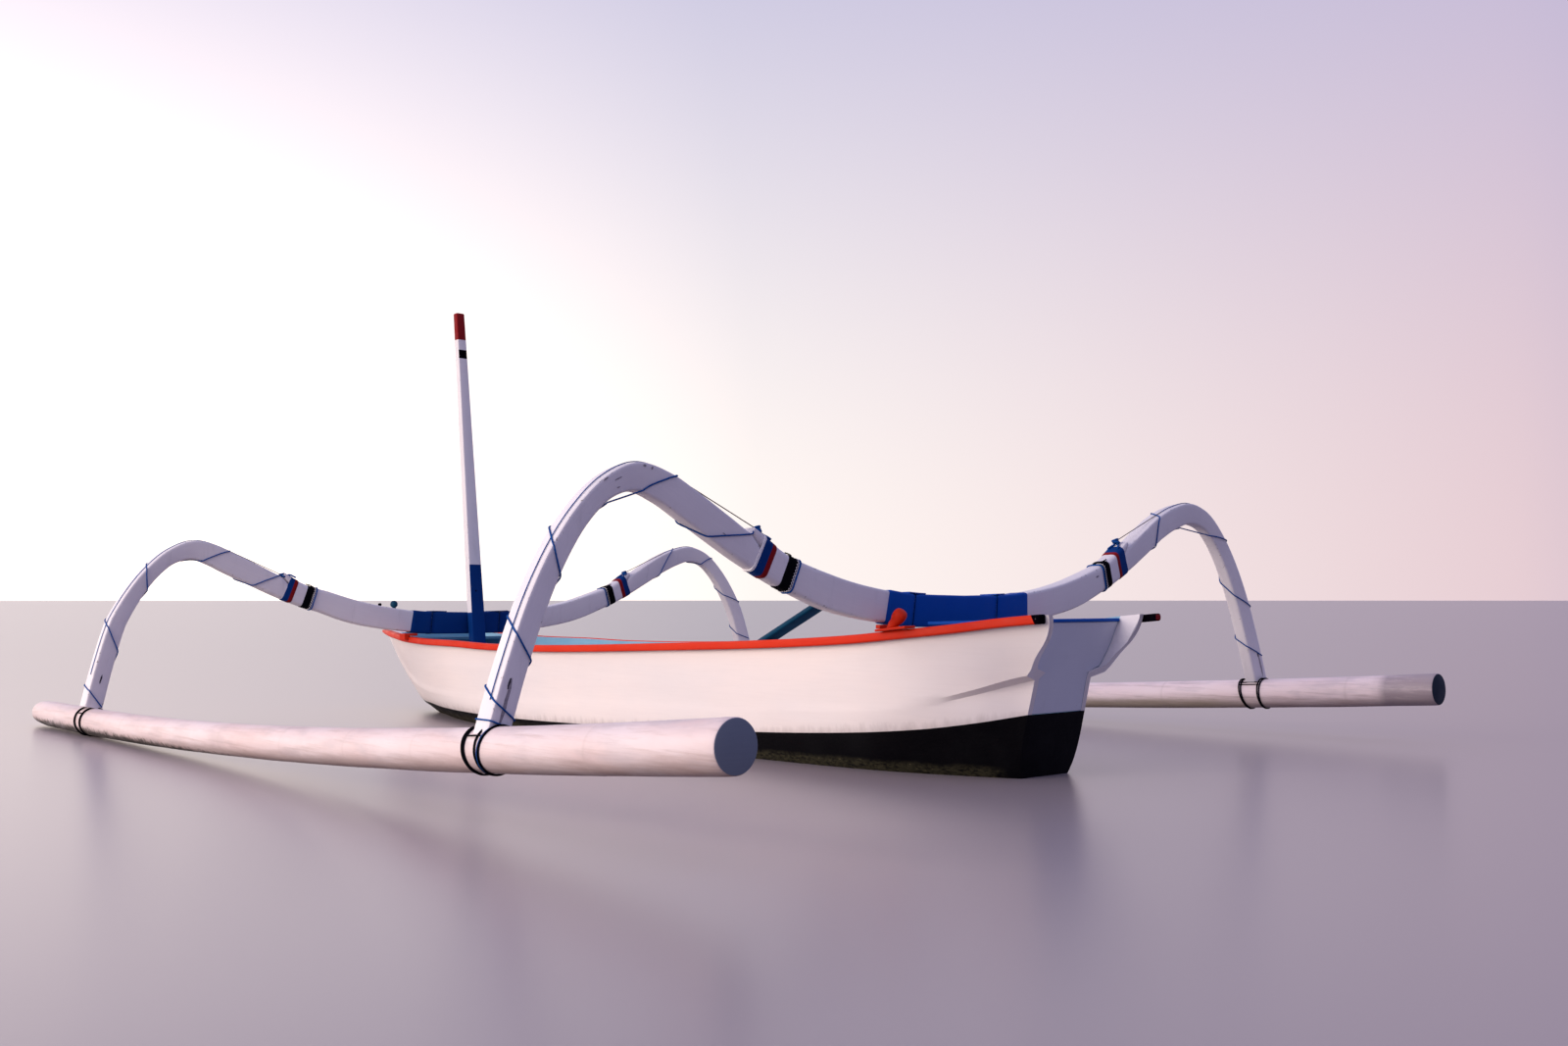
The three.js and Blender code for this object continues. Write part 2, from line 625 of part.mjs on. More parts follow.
// Steering oar stowed on the aft thwart, blade aft, grip down in the bottom
// columns: x, half width, half thickness
const OAR = [
  [-1400, 26, 9],
  [-1340, 43, 11],
  [-800, 43, 11],
  [-660, 20, 16],
  [520, 17, 16],
];
const OAR_SLOPE = -0.42;
add('steering_oar', loft(OAR.map(([x, halfWidth, halfThick]) => {
  const z = 446 + 12.4 + OAR_SLOPE * (x + 860);
  const e = Math.min(halfWidth, halfThick) * 0.45;
  const outline = [
    [-halfWidth + e, -halfThick], [halfWidth - e, -halfThick],
    [halfWidth, -halfThick + e], [halfWidth, halfThick - e],
    [halfWidth - e, halfThick], [-halfWidth + e, halfThick],
    [-halfWidth, halfThick - e], [-halfWidth, -halfThick + e],
  ];
  const n = new THREE.Vector2(-OAR_SLOPE, 1).normalize();
  return outline.map(([across, up]) => new THREE.Vector3(x + n.x * up, 110 + across, z + n.y * up));
})), TEAL);

// Mast, leaning a little forward and to port, on a step in the bottom
const mastFootZ = 60 + GAP;
const mastCentre = (z) => new THREE.Vector2(1815 + (z - 660) * 0.026, -12 + (z - 640) * 0.044);
function mastRing(z) {
  const c = mastCentre(z);
  const t = clamp01((z - 640) / (MAST_TOP - 640));
  const halfX = blend(25, 20, t);
  const halfY = blend(43, 26, t);
  return [[-halfX, -halfY], [halfX, -halfY], [halfX, halfY], [-halfX, halfY]]
    .map(([dx, dy]) => new THREE.Vector3(c.x + dx, c.y + dy, z));
}
const mastStep = innerFit.intersect(solid(box([1735, -160, -60], [1850, 160, mastFootZ - GAP])));
add('mast_step', surface(mastStep), BARE_WOOD);
add('mast', loft([mastFootZ, 640, 1500, MAST_TOP].map(mastRing)), WHITE);

export default boat;
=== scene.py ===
# Outrigger canoe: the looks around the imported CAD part.
# The builders work in millimetres in the boat's own level frame, and piece() turns their points
# into the row frame in metres.
import math
import bmesh
import bpy
import numpy as np
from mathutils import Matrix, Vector, noise


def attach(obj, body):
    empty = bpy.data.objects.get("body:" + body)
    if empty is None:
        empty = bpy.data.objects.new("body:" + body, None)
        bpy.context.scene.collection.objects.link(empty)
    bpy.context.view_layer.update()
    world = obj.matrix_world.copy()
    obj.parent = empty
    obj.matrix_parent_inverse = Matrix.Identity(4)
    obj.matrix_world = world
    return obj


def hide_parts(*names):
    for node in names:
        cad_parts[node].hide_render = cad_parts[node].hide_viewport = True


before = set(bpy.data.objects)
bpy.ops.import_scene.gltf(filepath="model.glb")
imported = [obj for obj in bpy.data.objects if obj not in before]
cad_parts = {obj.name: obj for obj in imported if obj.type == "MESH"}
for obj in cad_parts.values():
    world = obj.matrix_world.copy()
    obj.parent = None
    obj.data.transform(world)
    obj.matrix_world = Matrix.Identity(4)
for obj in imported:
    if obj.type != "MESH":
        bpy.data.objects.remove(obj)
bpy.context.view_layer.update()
TRIM = math.radians(1.7)
BEAM_X = 1890
WALL = 24
SIDES = (("port", 1), ("starboard", -1))


def clamp01(t):
    return min(max(t, 0.0), 1.0)


def blend(a, b, t):
    return a + (b - a) * t


def smooth(t):
    t = clamp01(t)
    return t * t * (3 - 2 * t)


def steps(a, b, count):
    return [blend(a, b, i / count) for i in range(count + 1)]


def to_row(points):
    p = np.asarray(points, float).reshape(-1, 3) * 0.001
    c, s = math.cos(TRIM), math.sin(TRIM)
    return np.stack([p[:, 0] * c + p[:, 2] * s, p[:, 1], -p[:, 0] * s + p[:, 2] * c], 1)


# Camera: the photograph's own view
camera_data = bpy.data.cameras.new("camera")
camera_data.sensor_width = 36
camera_data.lens = 34.356
camera_data.clip_end = 5000
camera = bpy.data.objects.new("camera", camera_data)
camera.location = (-5.8291, 4.5708, 0.6622)
YAW, PITCH = math.radians(42.4986), math.radians(2.954)
ahead = Vector((math.cos(PITCH) * math.cos(YAW), -math.cos(PITCH) * math.sin(YAW), math.sin(PITCH)))
camera.rotation_mode = "QUATERNION"
camera.rotation_quaternion = ahead.to_track_quat("-Z", "Y")
bpy.context.scene.collection.objects.link(camera)
bpy.context.scene.camera = camera


# Materials

class Nodes:
    """A small writer for node trees."""

    def __init__(self, tree):
        self.tree = tree
        tree.nodes.clear()

    def put(self, socket, value):
        if isinstance(value, bpy.types.NodeSocket):
            self.tree.links.new(value, socket)
        else:
            socket.default_value = value

    def node(self, kind, *inputs, **settings):
        """A node with its settings, and its inputs as pairs of socket and value."""
        node = self.tree.nodes.new("ShaderNode" + kind)
        for key, value in settings.items():
            setattr(node, key, value)
        for key, value in inputs:
            self.put(node.inputs[key], value)
        return node


class Shader(Nodes):
    """A small writer for node materials."""

    def __init__(self, name):
        self.material = bpy.data.materials.new(name)
        self.material.use_nodes = True
        super().__init__(self.material.node_tree)
        self.bsdf = self.node("BsdfPrincipled")
        self.node("OutputMaterial", (0, self.bsdf.outputs[0]))
        coord = self.node("TexCoord")
        self.place = coord.outputs["Object"]
        self.cloth = coord.outputs["UV"]

    def stretch(self, vector, scale):
        return self.node("Mapping", ("Vector", vector), ("Scale", scale)).outputs[0]

    def noise(self, vector, scale, detail=3.0, rough=0.55, warp=0.0):
        return self.node("TexNoise", ("Vector", vector), ("Scale", scale), ("Detail", detail),
                         ("Roughness", rough), ("Distortion", warp)).outputs["Fac"]

    def cells(self, vector, scale):
        return self.node("TexVoronoi", ("Vector", vector), ("Scale", scale)).outputs["Distance"]

    def ranged(self, value, low, high, to_low=0.0, to_high=1.0):
        return self.node("MapRange", ("Value", value), ("From Min", low), ("From Max", high),
                         ("To Min", to_low), ("To Max", to_high), clamp=True).outputs[0]

    def math(self, kind, a, b=0.0):
        return self.node("Math", (0, a), (1, b), operation=kind).outputs[0]

    def times(self, a, b):
        return self.math("MULTIPLY", a, b)

    def mix(self, amount, a, b):
        return self.node("Mix", (0, amount), (6, a), (7, b), data_type="RGBA").outputs[2]

    def mask(self, name):
        return self.node("Attribute", attribute_name=name).outputs["Fac"]

    def axis(self, vector, which):
        return self.node("SeparateXYZ", (0, vector)).outputs[which]

    def bump(self, height, strength, distance, under=None):
        below = () if under is None else (("Normal", under),)
        return self.node("Bump", ("Height", height), ("Strength", strength), ("Distance", distance),
                         *below).outputs[0]

    def done(self, colour, roughness, normal=None, shine=0.5):
        self.bsdf.inputs["Specular IOR Level"].default_value = shine
        self.put(self.bsdf.inputs["Base Color"], colour)
        self.put(self.bsdf.inputs["Roughness"], roughness)
        if normal is not None:
            self.put(self.bsdf.inputs["Normal"], normal)
        return self.material


def rgb(r, g, b):
    return (r, g, b, 1.0)


GREY_WOOD = rgb(0.20, 0.17, 0.15)


def paint(name, base, faded, gloss=0.45, wear=0.5, stain=0.0, shine=0.5, wood=GREY_WOOD):
    """Brushed paint on wood: faint brush marks along the piece, faded patches, and chips on edges."""
    s = Shader(name + "_paint")
    base, faded = rgb(*base), rgb(*faded)
    patch = s.ranged(s.noise(s.place, 2.3, 4), 0.35, 0.7)
    brush = s.noise(s.stretch(s.cloth, (3.0, 60.0, 1.0)), 2.0, 4, 0.6)
    fine = s.noise(s.stretch(s.cloth, (9.0, 260.0, 1.0)), 2.0, 3, 0.6)
    colour = s.mix(s.times(patch, 0.55), base, faded)
    colour = s.mix(s.times(s.ranged(brush, 0.42, 0.62), 0.16), colour, faded)
    dirt = s.ranged(s.noise(s.stretch(s.place, (7.0, 7.0, 1.6)), 3.0, 5, 0.65), 0.58, 0.86)
    darker_tone = rgb(base[0] * 0.5 + 0.04, base[1] * 0.5 + 0.035, base[2] * 0.5 + 0.03)
    colour = s.mix(s.times(dirt, 0.34 + stain), colour, darker_tone)
    edge = s.mask("edge")
    chips = s.noise(s.place, 55.0, 5, 0.7)
    worn = s.ranged(s.math("ADD", s.times(edge, 0.16 * wear), chips), 0.70, 0.735)
    colour = s.mix(s.times(worn, 0.75), colour, wood)
    rough = s.ranged(s.noise(s.place, 14.0, 4), 0.3, 0.7, gloss - 0.06, gloss + 0.14)
    bumps = s.bump(brush, 0.10, 0.004)
    bumps = s.bump(fine, 0.10, 0.0012, bumps)
    bumps = s.bump(s.times(worn, -1.0), 0.5, 0.0008, bumps)
    return s.done(colour, rough, bumps, shine)


def hull_white():
    """The sides: creamy white, darker in streaks just above the black bottom."""
    s = Shader("hull_white_paint")
    base, cream, darker_tone = rgb(0.80, 0.745, 0.725), rgb(0.86, 0.775, 0.735), rgb(0.33, 0.27, 0.25)
    patch = s.ranged(s.noise(s.stretch(s.place, (0.9, 1.0, 2.0)), 1.6, 4), 0.32, 0.68)
    colour = s.mix(patch, base, cream)
    brush = s.noise(s.stretch(s.place, (3.0, 3.0, 55.0)), 1.6, 4, 0.6)
    colour = s.mix(s.times(s.ranged(brush, 0.45, 0.65), 0.10), colour, rgb(0.70, 0.63, 0.61))
    # Darker in streaks over the lowest 130 mm of the sides, just above the black bottom
    low = s.mask("low")
    runs = s.noise(s.stretch(s.place, (16.0, 16.0, 1.3)), 2.0, 5, 0.65)
    foot = s.times(s.ranged(s.math("ADD", low, s.times(runs, 0.7)), 1.12, 1.5), 0.55)
    colour = s.mix(foot, colour, darker_tone)
    spots = s.ranged(s.cells(s.place, 9.0), 0.045, 0.035)
    spots = s.times(spots, s.ranged(s.noise(s.place, 2.0, 2), 0.58, 0.62))
    colour = s.mix(s.times(spots, 0.6), colour, rgb(0.16, 0.12, 0.11))
    rough = s.ranged(s.noise(s.place, 9.0, 4), 0.3, 0.7, 0.38, 0.55)
    planks = s.noise(s.stretch(s.place, (0.6, 1.0, 5.0)), 1.2, 2)
    bumps = s.bump(planks, 0.18, 0.03)
    bumps = s.bump(brush, 0.08, 0.003, bumps)
    return s.done(colour, rough, bumps)


def black_bottom():
    """The bottom: black paint with a grey-green band of growth just above the water."""
    s = Shader("black_bottom_paint")
    z = s.axis(s.place, 2)
    patch = s.ranged(s.noise(s.place, 5.0, 4), 0.4, 0.7)
    colour = s.mix(patch, rgb(0.0012, 0.001, 0.002), rgb(0.004, 0.004, 0.005))
    mottle = s.noise(s.stretch(s.place, (1.0, 1.0, 2.4)), 46.0, 6, 0.75)
    wave = s.times(s.noise(s.place, 8.0, 3), 0.03)
    band_top = s.ranged(s.math("SUBTRACT", z, wave), 0.034, 0.012)
    band = s.times(band_top, s.ranged(mottle, 0.38, 0.56))
    x = s.axis(s.place, 0)
    band = s.times(band, s.ranged(x, -2.26, -2.19))
    colour = s.mix(band, colour, rgb(0.034, 0.031, 0.018))
    flecks = s.times(s.ranged(mottle, 0.64, 0.70), band)
    colour = s.mix(flecks, colour, rgb(0.19, 0.16, 0.09))
    rough = s.ranged(s.noise(s.place, 20.0, 4), 0.3, 0.7, 0.42, 0.62)
    return s.done(colour, rough, s.bump(mottle, 0.35, 0.004), 0.05)


def float_white(name, base, warm, moss_amount=0.0):
    """The floats: white paint on bamboo, pinkish, darker and browner underneath from stains and painted
    shade, dark weed at the water forward.
    """
    s = Shader(name)
    z = s.axis(s.place, 2)
    x = s.axis(s.place, 0)
    colour = s.mix(s.ranged(s.noise(s.stretch(s.place, (0.7, 3.0, 3.0)), 3.0, 4), 0.35, 0.7), base, warm)
    streaks = s.noise(s.stretch(s.place, (0.9, 26.0, 26.0)), 2.4, 5, 0.65)
    colour = s.mix(s.times(s.ranged(streaks, 0.5, 0.70), 0.5), colour, rgb(0.46, 0.34, 0.31))
    scuffs = s.ranged(s.noise(s.stretch(s.place, (6.0, 24.0, 24.0)), 5.0, 5, 0.7), 0.66, 0.78)
    colour = s.mix(s.times(scuffs, 0.35), colour, rgb(0.86, 0.80, 0.77))
    # Underside darkened towards brown: partly stains, partly painted shade of the float's lower half
    low = s.mask("low")
    soil = s.noise(s.stretch(s.place, (1.6, 12.0, 12.0)), 3.0, 5, 0.7)
    under = s.ranged(s.math("ADD", low, s.times(soil, 0.5)), 0.62, 1.25)
    colour = s.mix(s.times(under, 0.8), colour, rgb(0.17, 0.10, 0.075))
    wobble = s.times(s.noise(s.stretch(s.place, (3.0, 3.0, 1.0)), 16.0, 5, 0.75), 0.09)
    weed = s.ranged(s.math("SUBTRACT", z, wobble), 0.006, -0.012)
    weed = s.times(weed, s.ranged(x, -0.9, 0.3))
    colour = s.mix(s.times(weed, 0.95), colour, rgb(0.016, 0.015, 0.007))
    grey = s.times(s.ranged(s.noise(s.stretch(s.place, (2.0, 9.0, 9.0)), 2.0, 4), 0.52, 0.66), 0.3)
    colour = s.mix(grey, colour, rgb(0.43, 0.38, 0.40))
    patch = s.times(s.mask("patch"), s.ranged(soil, 0.25, 0.5, 0.5, 0.8))
    colour = s.mix(patch, colour, rgb(0.27, 0.22, 0.24))
    moss = s.times(s.ranged(s.math("ADD", low, s.times(soil, 0.4)), 0.4, 0.9), moss_amount)
    moss = s.times(moss, s.ranged(x, -2.0, -1.6))
    colour = s.mix(moss, colour, rgb(0.36, 0.31, 0.17))
    joints = s.mask("joint")
    colour = s.mix(s.times(joints, 0.2), colour, rgb(0.50, 0.40, 0.36))
    rough = s.ranged(s.noise(s.place, 20.0, 4), 0.3, 0.7, 0.42, 0.6)
    return s.done(colour, rough, s.bump(streaks, 0.22, 0.003))


def rope_material(name, base, light, scale=1.0, contrast=0.5, shine=0.2):
    """Laid rope: the strands come from the mesh, the fibres and the fading from here."""
    s = Shader(name)
    fibre = s.noise(s.stretch(s.cloth, (160.0 * scale, 420.0 * scale, 1.0)), 2.0, 3, 0.6)
    fade = s.noise(s.place, 16.0, 3)
    colour = s.mix(s.times(s.ranged(fibre, 0.4, 0.66), contrast), base, light)
    colour = s.mix(s.times(s.ranged(fade, 0.45, 0.7), 0.4), colour, light)
    return s.done(colour, 0.82, s.bump(fibre, 0.4, 0.0008), shine)


def bare_wood(name, base, dark):
    s = Shader(name)
    grain = s.noise(s.stretch(s.cloth, (2.5, 60.0, 1.0)), 2.0, 5, 0.65, 0.6)
    colour = s.mix(s.ranged(grain, 0.38, 0.64), dark, base)
    colour = s.mix(s.times(s.ranged(s.noise(s.place, 30.0, 4), 0.5, 0.75), 0.4), colour, dark)
    return s.done(colour, s.ranged(grain, 0.3, 0.7, 0.6, 0.8), s.bump(grain, 0.35, 0.0016))


WHITE = paint("white", (0.79, 0.755, 0.765), (0.70, 0.66, 0.68), wear=0.8)
ARM_WHITE = paint("arm_white", (0.78, 0.745, 0.76), (0.66, 0.62, 0.65), wear=0.7, stain=0.1)
HULL = hull_white()
BOTTOM = black_bottom()
FLOAT = float_white("float_white_paint", rgb(0.72, 0.62, 0.62), rgb(0.66, 0.51, 0.49))
FLOAT_PALE = float_white("float_pale_paint", rgb(0.93, 0.80, 0.79), rgb(0.90, 0.74, 0.72), 0.6)
ROYAL = paint("royal_blue", (0.001, 0.065, 0.36), (0.004, 0.085, 0.40), gloss=0.5, wear=0.25, shine=0.1)
SKY = paint("light_blue", (0.17, 0.40, 0.55), (0.34, 0.56, 0.66), gloss=0.5, wear=0.9)
ORANGE = paint("orange", (0.62, 0.022, 0.005), (0.70, 0.045, 0.012), gloss=0.45, wear=0.3, shine=0.12)
RED = paint("dark_red", (0.20, 0.003, 0.006), (0.25, 0.009, 0.010), gloss=0.5, wear=0.3, shine=0.1)
BLACK = paint("black", (0.0015, 0.001, 0.003), (0.004, 0.003, 0.005), gloss=0.75, wear=0.2, shine=0.0)
NAVY = paint("navy", (0.001, 0.030, 0.16), (0.004, 0.045, 0.20), gloss=0.55, wear=0.25, shine=0.06)
DEEP_NAVY = paint("deep_navy", (0.0005, 0.010, 0.045), (0.001, 0.014, 0.06), gloss=0.7, wear=0.1, shine=0.0)
TEAL = paint("teal", (0.001, 0.034, 0.075), (0.006, 0.07, 0.12), gloss=0.5, wear=0.4, shine=0.12)
SLATE = paint("slate", (0.125, 0.15, 0.20), (0.16, 0.185, 0.235), gloss=0.5, wear=0.3, shine=0.2)
DARK_SLATE = paint("dark_slate", (0.011, 0.020, 0.035), (0.02, 0.03, 0.05), gloss=0.5, wear=0.3, shine=0.1)
# A greyer blue-white for the transom board: the white paint with painted shade of its aft face
SHADED_WHITE = paint("shade_painted_white", (0.56, 0.58, 0.66), (0.50, 0.52, 0.60), gloss=0.5, wear=0.6, shine=0.3)
WOOD = bare_wood("bare_wood", rgb(0.34, 0.25, 0.17), rgb(0.16, 0.11, 0.075))
GREY_GRAIN = bare_wood("weathered_wood", rgb(0.36, 0.33, 0.36), rgb(0.20, 0.18, 0.21))
# Near-black skins for holes in the wood: painted shade in place of the holes' depth
HOLE_SHADE = bare_wood("painted_hole_shade", rgb(0.035, 0.03, 0.045), rgb(0.012, 0.01, 0.016))
RUBBER = rope_material("black_rubber", rgb(0.0015, 0.0015, 0.003), rgb(0.006, 0.006, 0.009), 0.4, 0.35, 0.02)
BLUE_ROPE = rope_material("blue_rope", rgb(0.003, 0.050, 0.22), rgb(0.012, 0.11, 0.38), shine=0.1)
WHITE_CORD = rope_material("white_cord", rgb(0.80, 0.77, 0.77), rgb(0.93, 0.91, 0.91))
BROWN_ROPE = rope_material("brown_rope", rgb(0.05, 0.032, 0.045), rgb(0.12, 0.085, 0.095))


# Meshes

def loft(rings, closed=True, start=True, end=True):
    """Faces through rings of the same number of points, with coordinates in metres along and around."""
    rings = np.asarray(rings, float)
    n, m = rings.shape[:2]
    centre = rings.mean(1)
    along = np.r_[0, np.cumsum(np.linalg.norm(np.diff(centre, axis=0), axis=1))] * 0.001
    middle = rings[n // 2]
    around = np.r_[0, np.cumsum(np.linalg.norm(np.roll(middle, -1, 0) - middle, axis=1))] * 0.001
    faces, cloth, columns = [], [], []
    for i in range(n - 1):
        for j in range(m if closed else m - 1):
            k = (j + 1) % m
            faces.append((i * m + j, i * m + k, (i + 1) * m + k, (i + 1) * m + j))
            cloth.append([(along[i], around[j]), (along[i], around[j + 1]),
                          (along[i + 1], around[j + 1]), (along[i + 1], around[j])])
            columns.append((i, j))
    for wanted, first, flip in ((start, 0, True), (end, (n - 1) * m, False)):
        if wanted and closed:
            ring = [first + j for j in range(m)]
            ring = ring[::-1] if flip else ring
            points = rings.reshape(-1, 3)[ring] * 0.001
            faces.append(tuple(ring))
            cloth.append([(p[1] + p[0], p[2]) for p in points])
            columns.append((-1 if flip else n, -1))
    return rings.reshape(-1, 3), faces, cloth, columns


def joined(parts):
    """Several lofts as one mesh."""
    points, faces, cloth, columns = [], [], [], []
    for part in parts:
        shift = sum(len(p) for p in points)
        points.append(part[0])
        faces += [tuple(shift + i for i in f) for f in part[1]]
        cloth += part[2]
        columns += part[3]
    return np.concatenate(points), faces, cloth, columns


def piece(name, body, materials, nodes=(), pick=None, masks=None, sharp=32, bevel=0.0):
    """An object that rides on the root: its mesh, materials and masks, and the nodes it stands for."""
    points, faces, cloth, columns = body
    mesh = bpy.data.meshes.new(name)
    mesh.from_pydata(to_row(points).tolist(), [], [tuple(f) for f in faces])
    layer = mesh.uv_layers.new(name="UVMap")
    layer.data.foreach_set("uv", [c for face in cloth for corner in face for c in corner])
    for key, values in (masks or {}).items():
        layer = mesh.attributes.new(key, "FLOAT", "POINT")
        layer.data.foreach_set("value", np.asarray(values, np.float32))
    materials = materials if isinstance(materials, (list, tuple)) else [materials]
    for m in materials:
        mesh.materials.append(m)
    if pick:
        mesh.polygons.foreach_set("material_index", [pick(*c) for c in columns])
    work = bmesh.new()
    work.from_mesh(mesh)
    bmesh.ops.remove_doubles(work, verts=work.verts, dist=3e-6)
    bmesh.ops.dissolve_degenerate(work, edges=work.edges, dist=2e-6)
    bmesh.ops.recalc_face_normals(work, faces=work.faces)
    limit = math.radians(sharp)
    for face in work.faces:
        face.smooth = True
    for edge in work.edges:
        edge.smooth = len(edge.link_faces) == 2 and edge.calc_face_angle(0.0) < limit
    work.to_mesh(mesh)
    work.free()
    thing = bpy.data.objects.new(name, mesh)
    bpy.context.scene.collection.objects.link(thing)
    if bevel:
        edges = thing.modifiers.new("edges", "BEVEL")
        edges.width = bevel * 0.001
        edges.segments = 3
        edges.limit_method = "ANGLE"
        edges.angle_limit = math.radians(30)
        edges.harden_normals = False
    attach(thing, "root")
    if nodes:
        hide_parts(*nodes)
    return thing


def rounded(corners, radius, count=4):
    """Points round a polygon with its corners rounded, and how near each is to a corner."""
    points, edge = [], []
    total = len(corners)
    for k in range(total):
        p = np.array(corners[k], float)
        before, after = np.array(corners[k - 1], float) - p, np.array(corners[(k + 1) % total], float) - p
        r = radius[k] if isinstance(radius, (list, tuple)) else radius
        a = p + before / np.linalg.norm(before) * r
        b = p + after / np.linalg.norm(after) * r
        for t in steps(0.0, 1.0, count):
            points.append((1 - t) ** 2 * a + 2 * t * (1 - t) * p + t * t * b)
            edge.append(1 - abs(2 * t - 1))
    return points, edge


def tube(path, radius, sides=8, strands=0, twist=60.0, closed=False):
    """A round rope along a path. With strands, it is laid rope with that many strands."""
    path = np.asarray(path, float)
    n = len(path)
    tangent = np.roll(path, -1, 0) - np.roll(path, 1, 0) if closed else np.gradient(path, axis=0)
    tangent /= np.maximum(np.linalg.norm(tangent, axis=1), 1e-9)[:, None]
    up = np.array([0.13, 0.21, 0.97])
    normal = np.cross(tangent[0], up)
    normal /= np.linalg.norm(normal)
    length, rings = 0.0, []
    for i in range(n):
        if i:
            length += np.linalg.norm(path[i] - path[i - 1])
        normal = normal - tangent[i] * (normal @ tangent[i])
        normal /= np.linalg.norm(normal)
        other = np.cross(tangent[i], normal)
        ring = []
        for k in range(sides):
            a = 2 * math.pi * k / sides
            r = radius
            if strands:
                r *= 0.86 + 0.14 * abs(math.cos(strands * (a - length / twist) / 2))
            ring.append(path[i] + r * (math.cos(a) * normal + math.sin(a) * other))
        rings.append(ring)
    if closed:
        rings.append(rings[0])
    return loft(rings, True, not closed, not closed)


def between(a, b, c, d, t):
    """A point between b and c on a smooth curve through all four."""
    return 0.5 * (2 * b + (c - a) * t + (2 * a - 5 * b + 4 * c - d) * t * t
                  + (3 * b - a - 3 * c + d) * t ** 3)


def angles(count):
    return [k / count * 2 * math.pi for k in range(count)]


def turned(x, z, profile, count, lean=0.0):
    """A solid of revolution on the centreline, from heights and radii."""
    return loft([[(x + lean * d + r * math.cos(b), r * math.sin(b), z + d) for b in angles(count)]
                 for d, r in profile])


def through(points, spacing=12.0, closed=False):
    """A smooth curve through points, sampled at about the spacing."""
    p = np.asarray(points, float)
    total = len(p)
    out = []
    for i in range(total if closed else total - 1):
        def at(k):
            return p[k % total] if closed else p[min(max(k, 0), total - 1)]
        a, b, c, d = at(i - 1), at(i), at(i + 1), at(i + 2)
        count = max(int(np.linalg.norm(c - b) / spacing), 1)
        for t in np.arange(count) / count:
            out.append(between(a, b, c, d, t))
    if not closed:
        out.append(p[-1])
    return np.array(out)


def prism(outline, shift):
    """A solid between an outline of points and the same outline moved by shift."""
    outline = np.asarray(outline, float)
    return loft([outline, outline + np.asarray(shift, float)])


def block(low, high):
    (x0, y0, z0), (x1, y1, z1) = low, high
    return prism([(x0, y0, z0), (x1, y0, z0), (x1, y1, z0), (x0, y1, z0)], (0, 0, z1 - z0))


# Hull lines, as in the CAD source
# columns: x, sheer z, sheer y, crease z, crease y, crease step, paint z, paint y, bilge z, bilge y, keel z
STATIONS = np.array([
    (-2640, 538, 278, 330, 216, 76, 200, 124, 30, 106, -98),
    (-2400, 524, 326, 308, 243, 72, 176, 159, 8, 140, -126),
    (-2200, 505, 371, 255, 312, 32, 142, 264, -40, 200, -160),
    (-2000, 490, 408, 212, 368, 5, 117, 335, -60, 262, -180),
    (-1700, 471, 435, 195, 405, 0, 97, 388, -70, 332, -200),
    (-1200, 458, 448, 185, 426, 0, 82, 415, -80, 372, -215),
    (-500, 452, 452, 180, 434, 0, 76, 426, -85, 388, -220),
    (300, 450, 451, 180, 430, 0, 77, 420, -80, 378, -215),
    (900, 462, 438, 182, 412, 0, 86, 396, -62, 330, -190),
    (1300, 482, 417, 190, 378, 0, 99, 354, -30, 250, -140),
    (1650, 495, 389, 205, 330, 0, 112, 288, 15, 175, -70),
    (1950, 513, 346, 230, 264, 0, 129, 205, 62, 115, 8),
    (2200, 536, 281, 270, 186, 0, 145, 122, 108, 72, 75),
    (2420, 549, 206, 330, 116, 0, 220, 60, 185, 34, 158),
    (2600, 554, 130, 410, 68, 0, 330, 34, 310, 22, 296),
    (2740, 557, 64, 490, 34, 0, 445, 20, 436, 15, 428),
    (2840, 560, 16, 548, 13, 0, 542, 10, 539, 7, 536),
], float)
SHEER_Z, SHEER_Y, CREASE_Z, CREASE_Y, STEP, PAINT_Z, PAINT_Y, BILGE_Z, BILGE_Y, KEEL_Z = range(1, 11)
PLAIN_FROM, WELL_FORE = -2200, 2230
STEM_AFT, STEM_END = 2270, 2840
STERN_THICKNESS = 40


def station(x):
    last = len(STATIONS) - 2
    i = min(max(int((STATIONS[:, 0] <= x).sum()) - 1, 0), last)

    def row(k):
        return STATIONS[min(max(k, 0), last + 1)]

    width = row(i + 1)[0] - row(i)[0]
    t = (x - row(i)[0]) / width

    def slope(k):
        low, high = row(max(k - 1, 0)), row(k + 1)
        return (high - low) / (high[0] - low[0])

    h = t * t * (3 - 2 * t)
    return (blend(row(i), row(i + 1), h)
            + width * (t * (1 - t) ** 2 * slope(i) - t * t * (1 - t) * slope(i + 1)))


def paint_line(x):
    return 160.0 if x > 2420 else station(x)[PAINT_Z] - clamp01((x - 2200) / 220) * 62


def curve(points, count):
    """A curve through points as count short legs for each pair, without the end points' own legs."""
    p = np.asarray(points, float)
    out = []
    for i in range(1, len(p) - 2):
        a, b, c, d = p[i - 1:i + 3]
        for t in np.arange(count) / count:
            out.append(between(a, b, c, d, t))
    out.append(p[-2])
    return np.array(out)


def spread(points, count):
    """A polyline's points, count legs of the same length."""
    gap = np.r_[0, np.cumsum(np.linalg.norm(np.diff(points, axis=0), axis=1))]
    at = np.linspace(0, gap[-1], count + 1)
    return np.stack([np.interp(at, gap, points[:, k]) for k in range(points.shape[1])], 1)


def cut_at(points, z):
    """The parts of a rising polyline below and above a height."""
    if points[0, 1] >= z:
        return points[:1], points
    k = int(np.argmax(points[:, 1] >= z))
    a, b = points[k - 1], points[k]
    at = a + (b - a) * (z - a[1]) / max(b[1] - a[1], 1e-9)
    return np.vstack([points[:k], at]), np.vstack([at, points[k:]])


LOW_ROWS, MIDDLE_ROWS, TOP_ROWS = 16, 8, 12


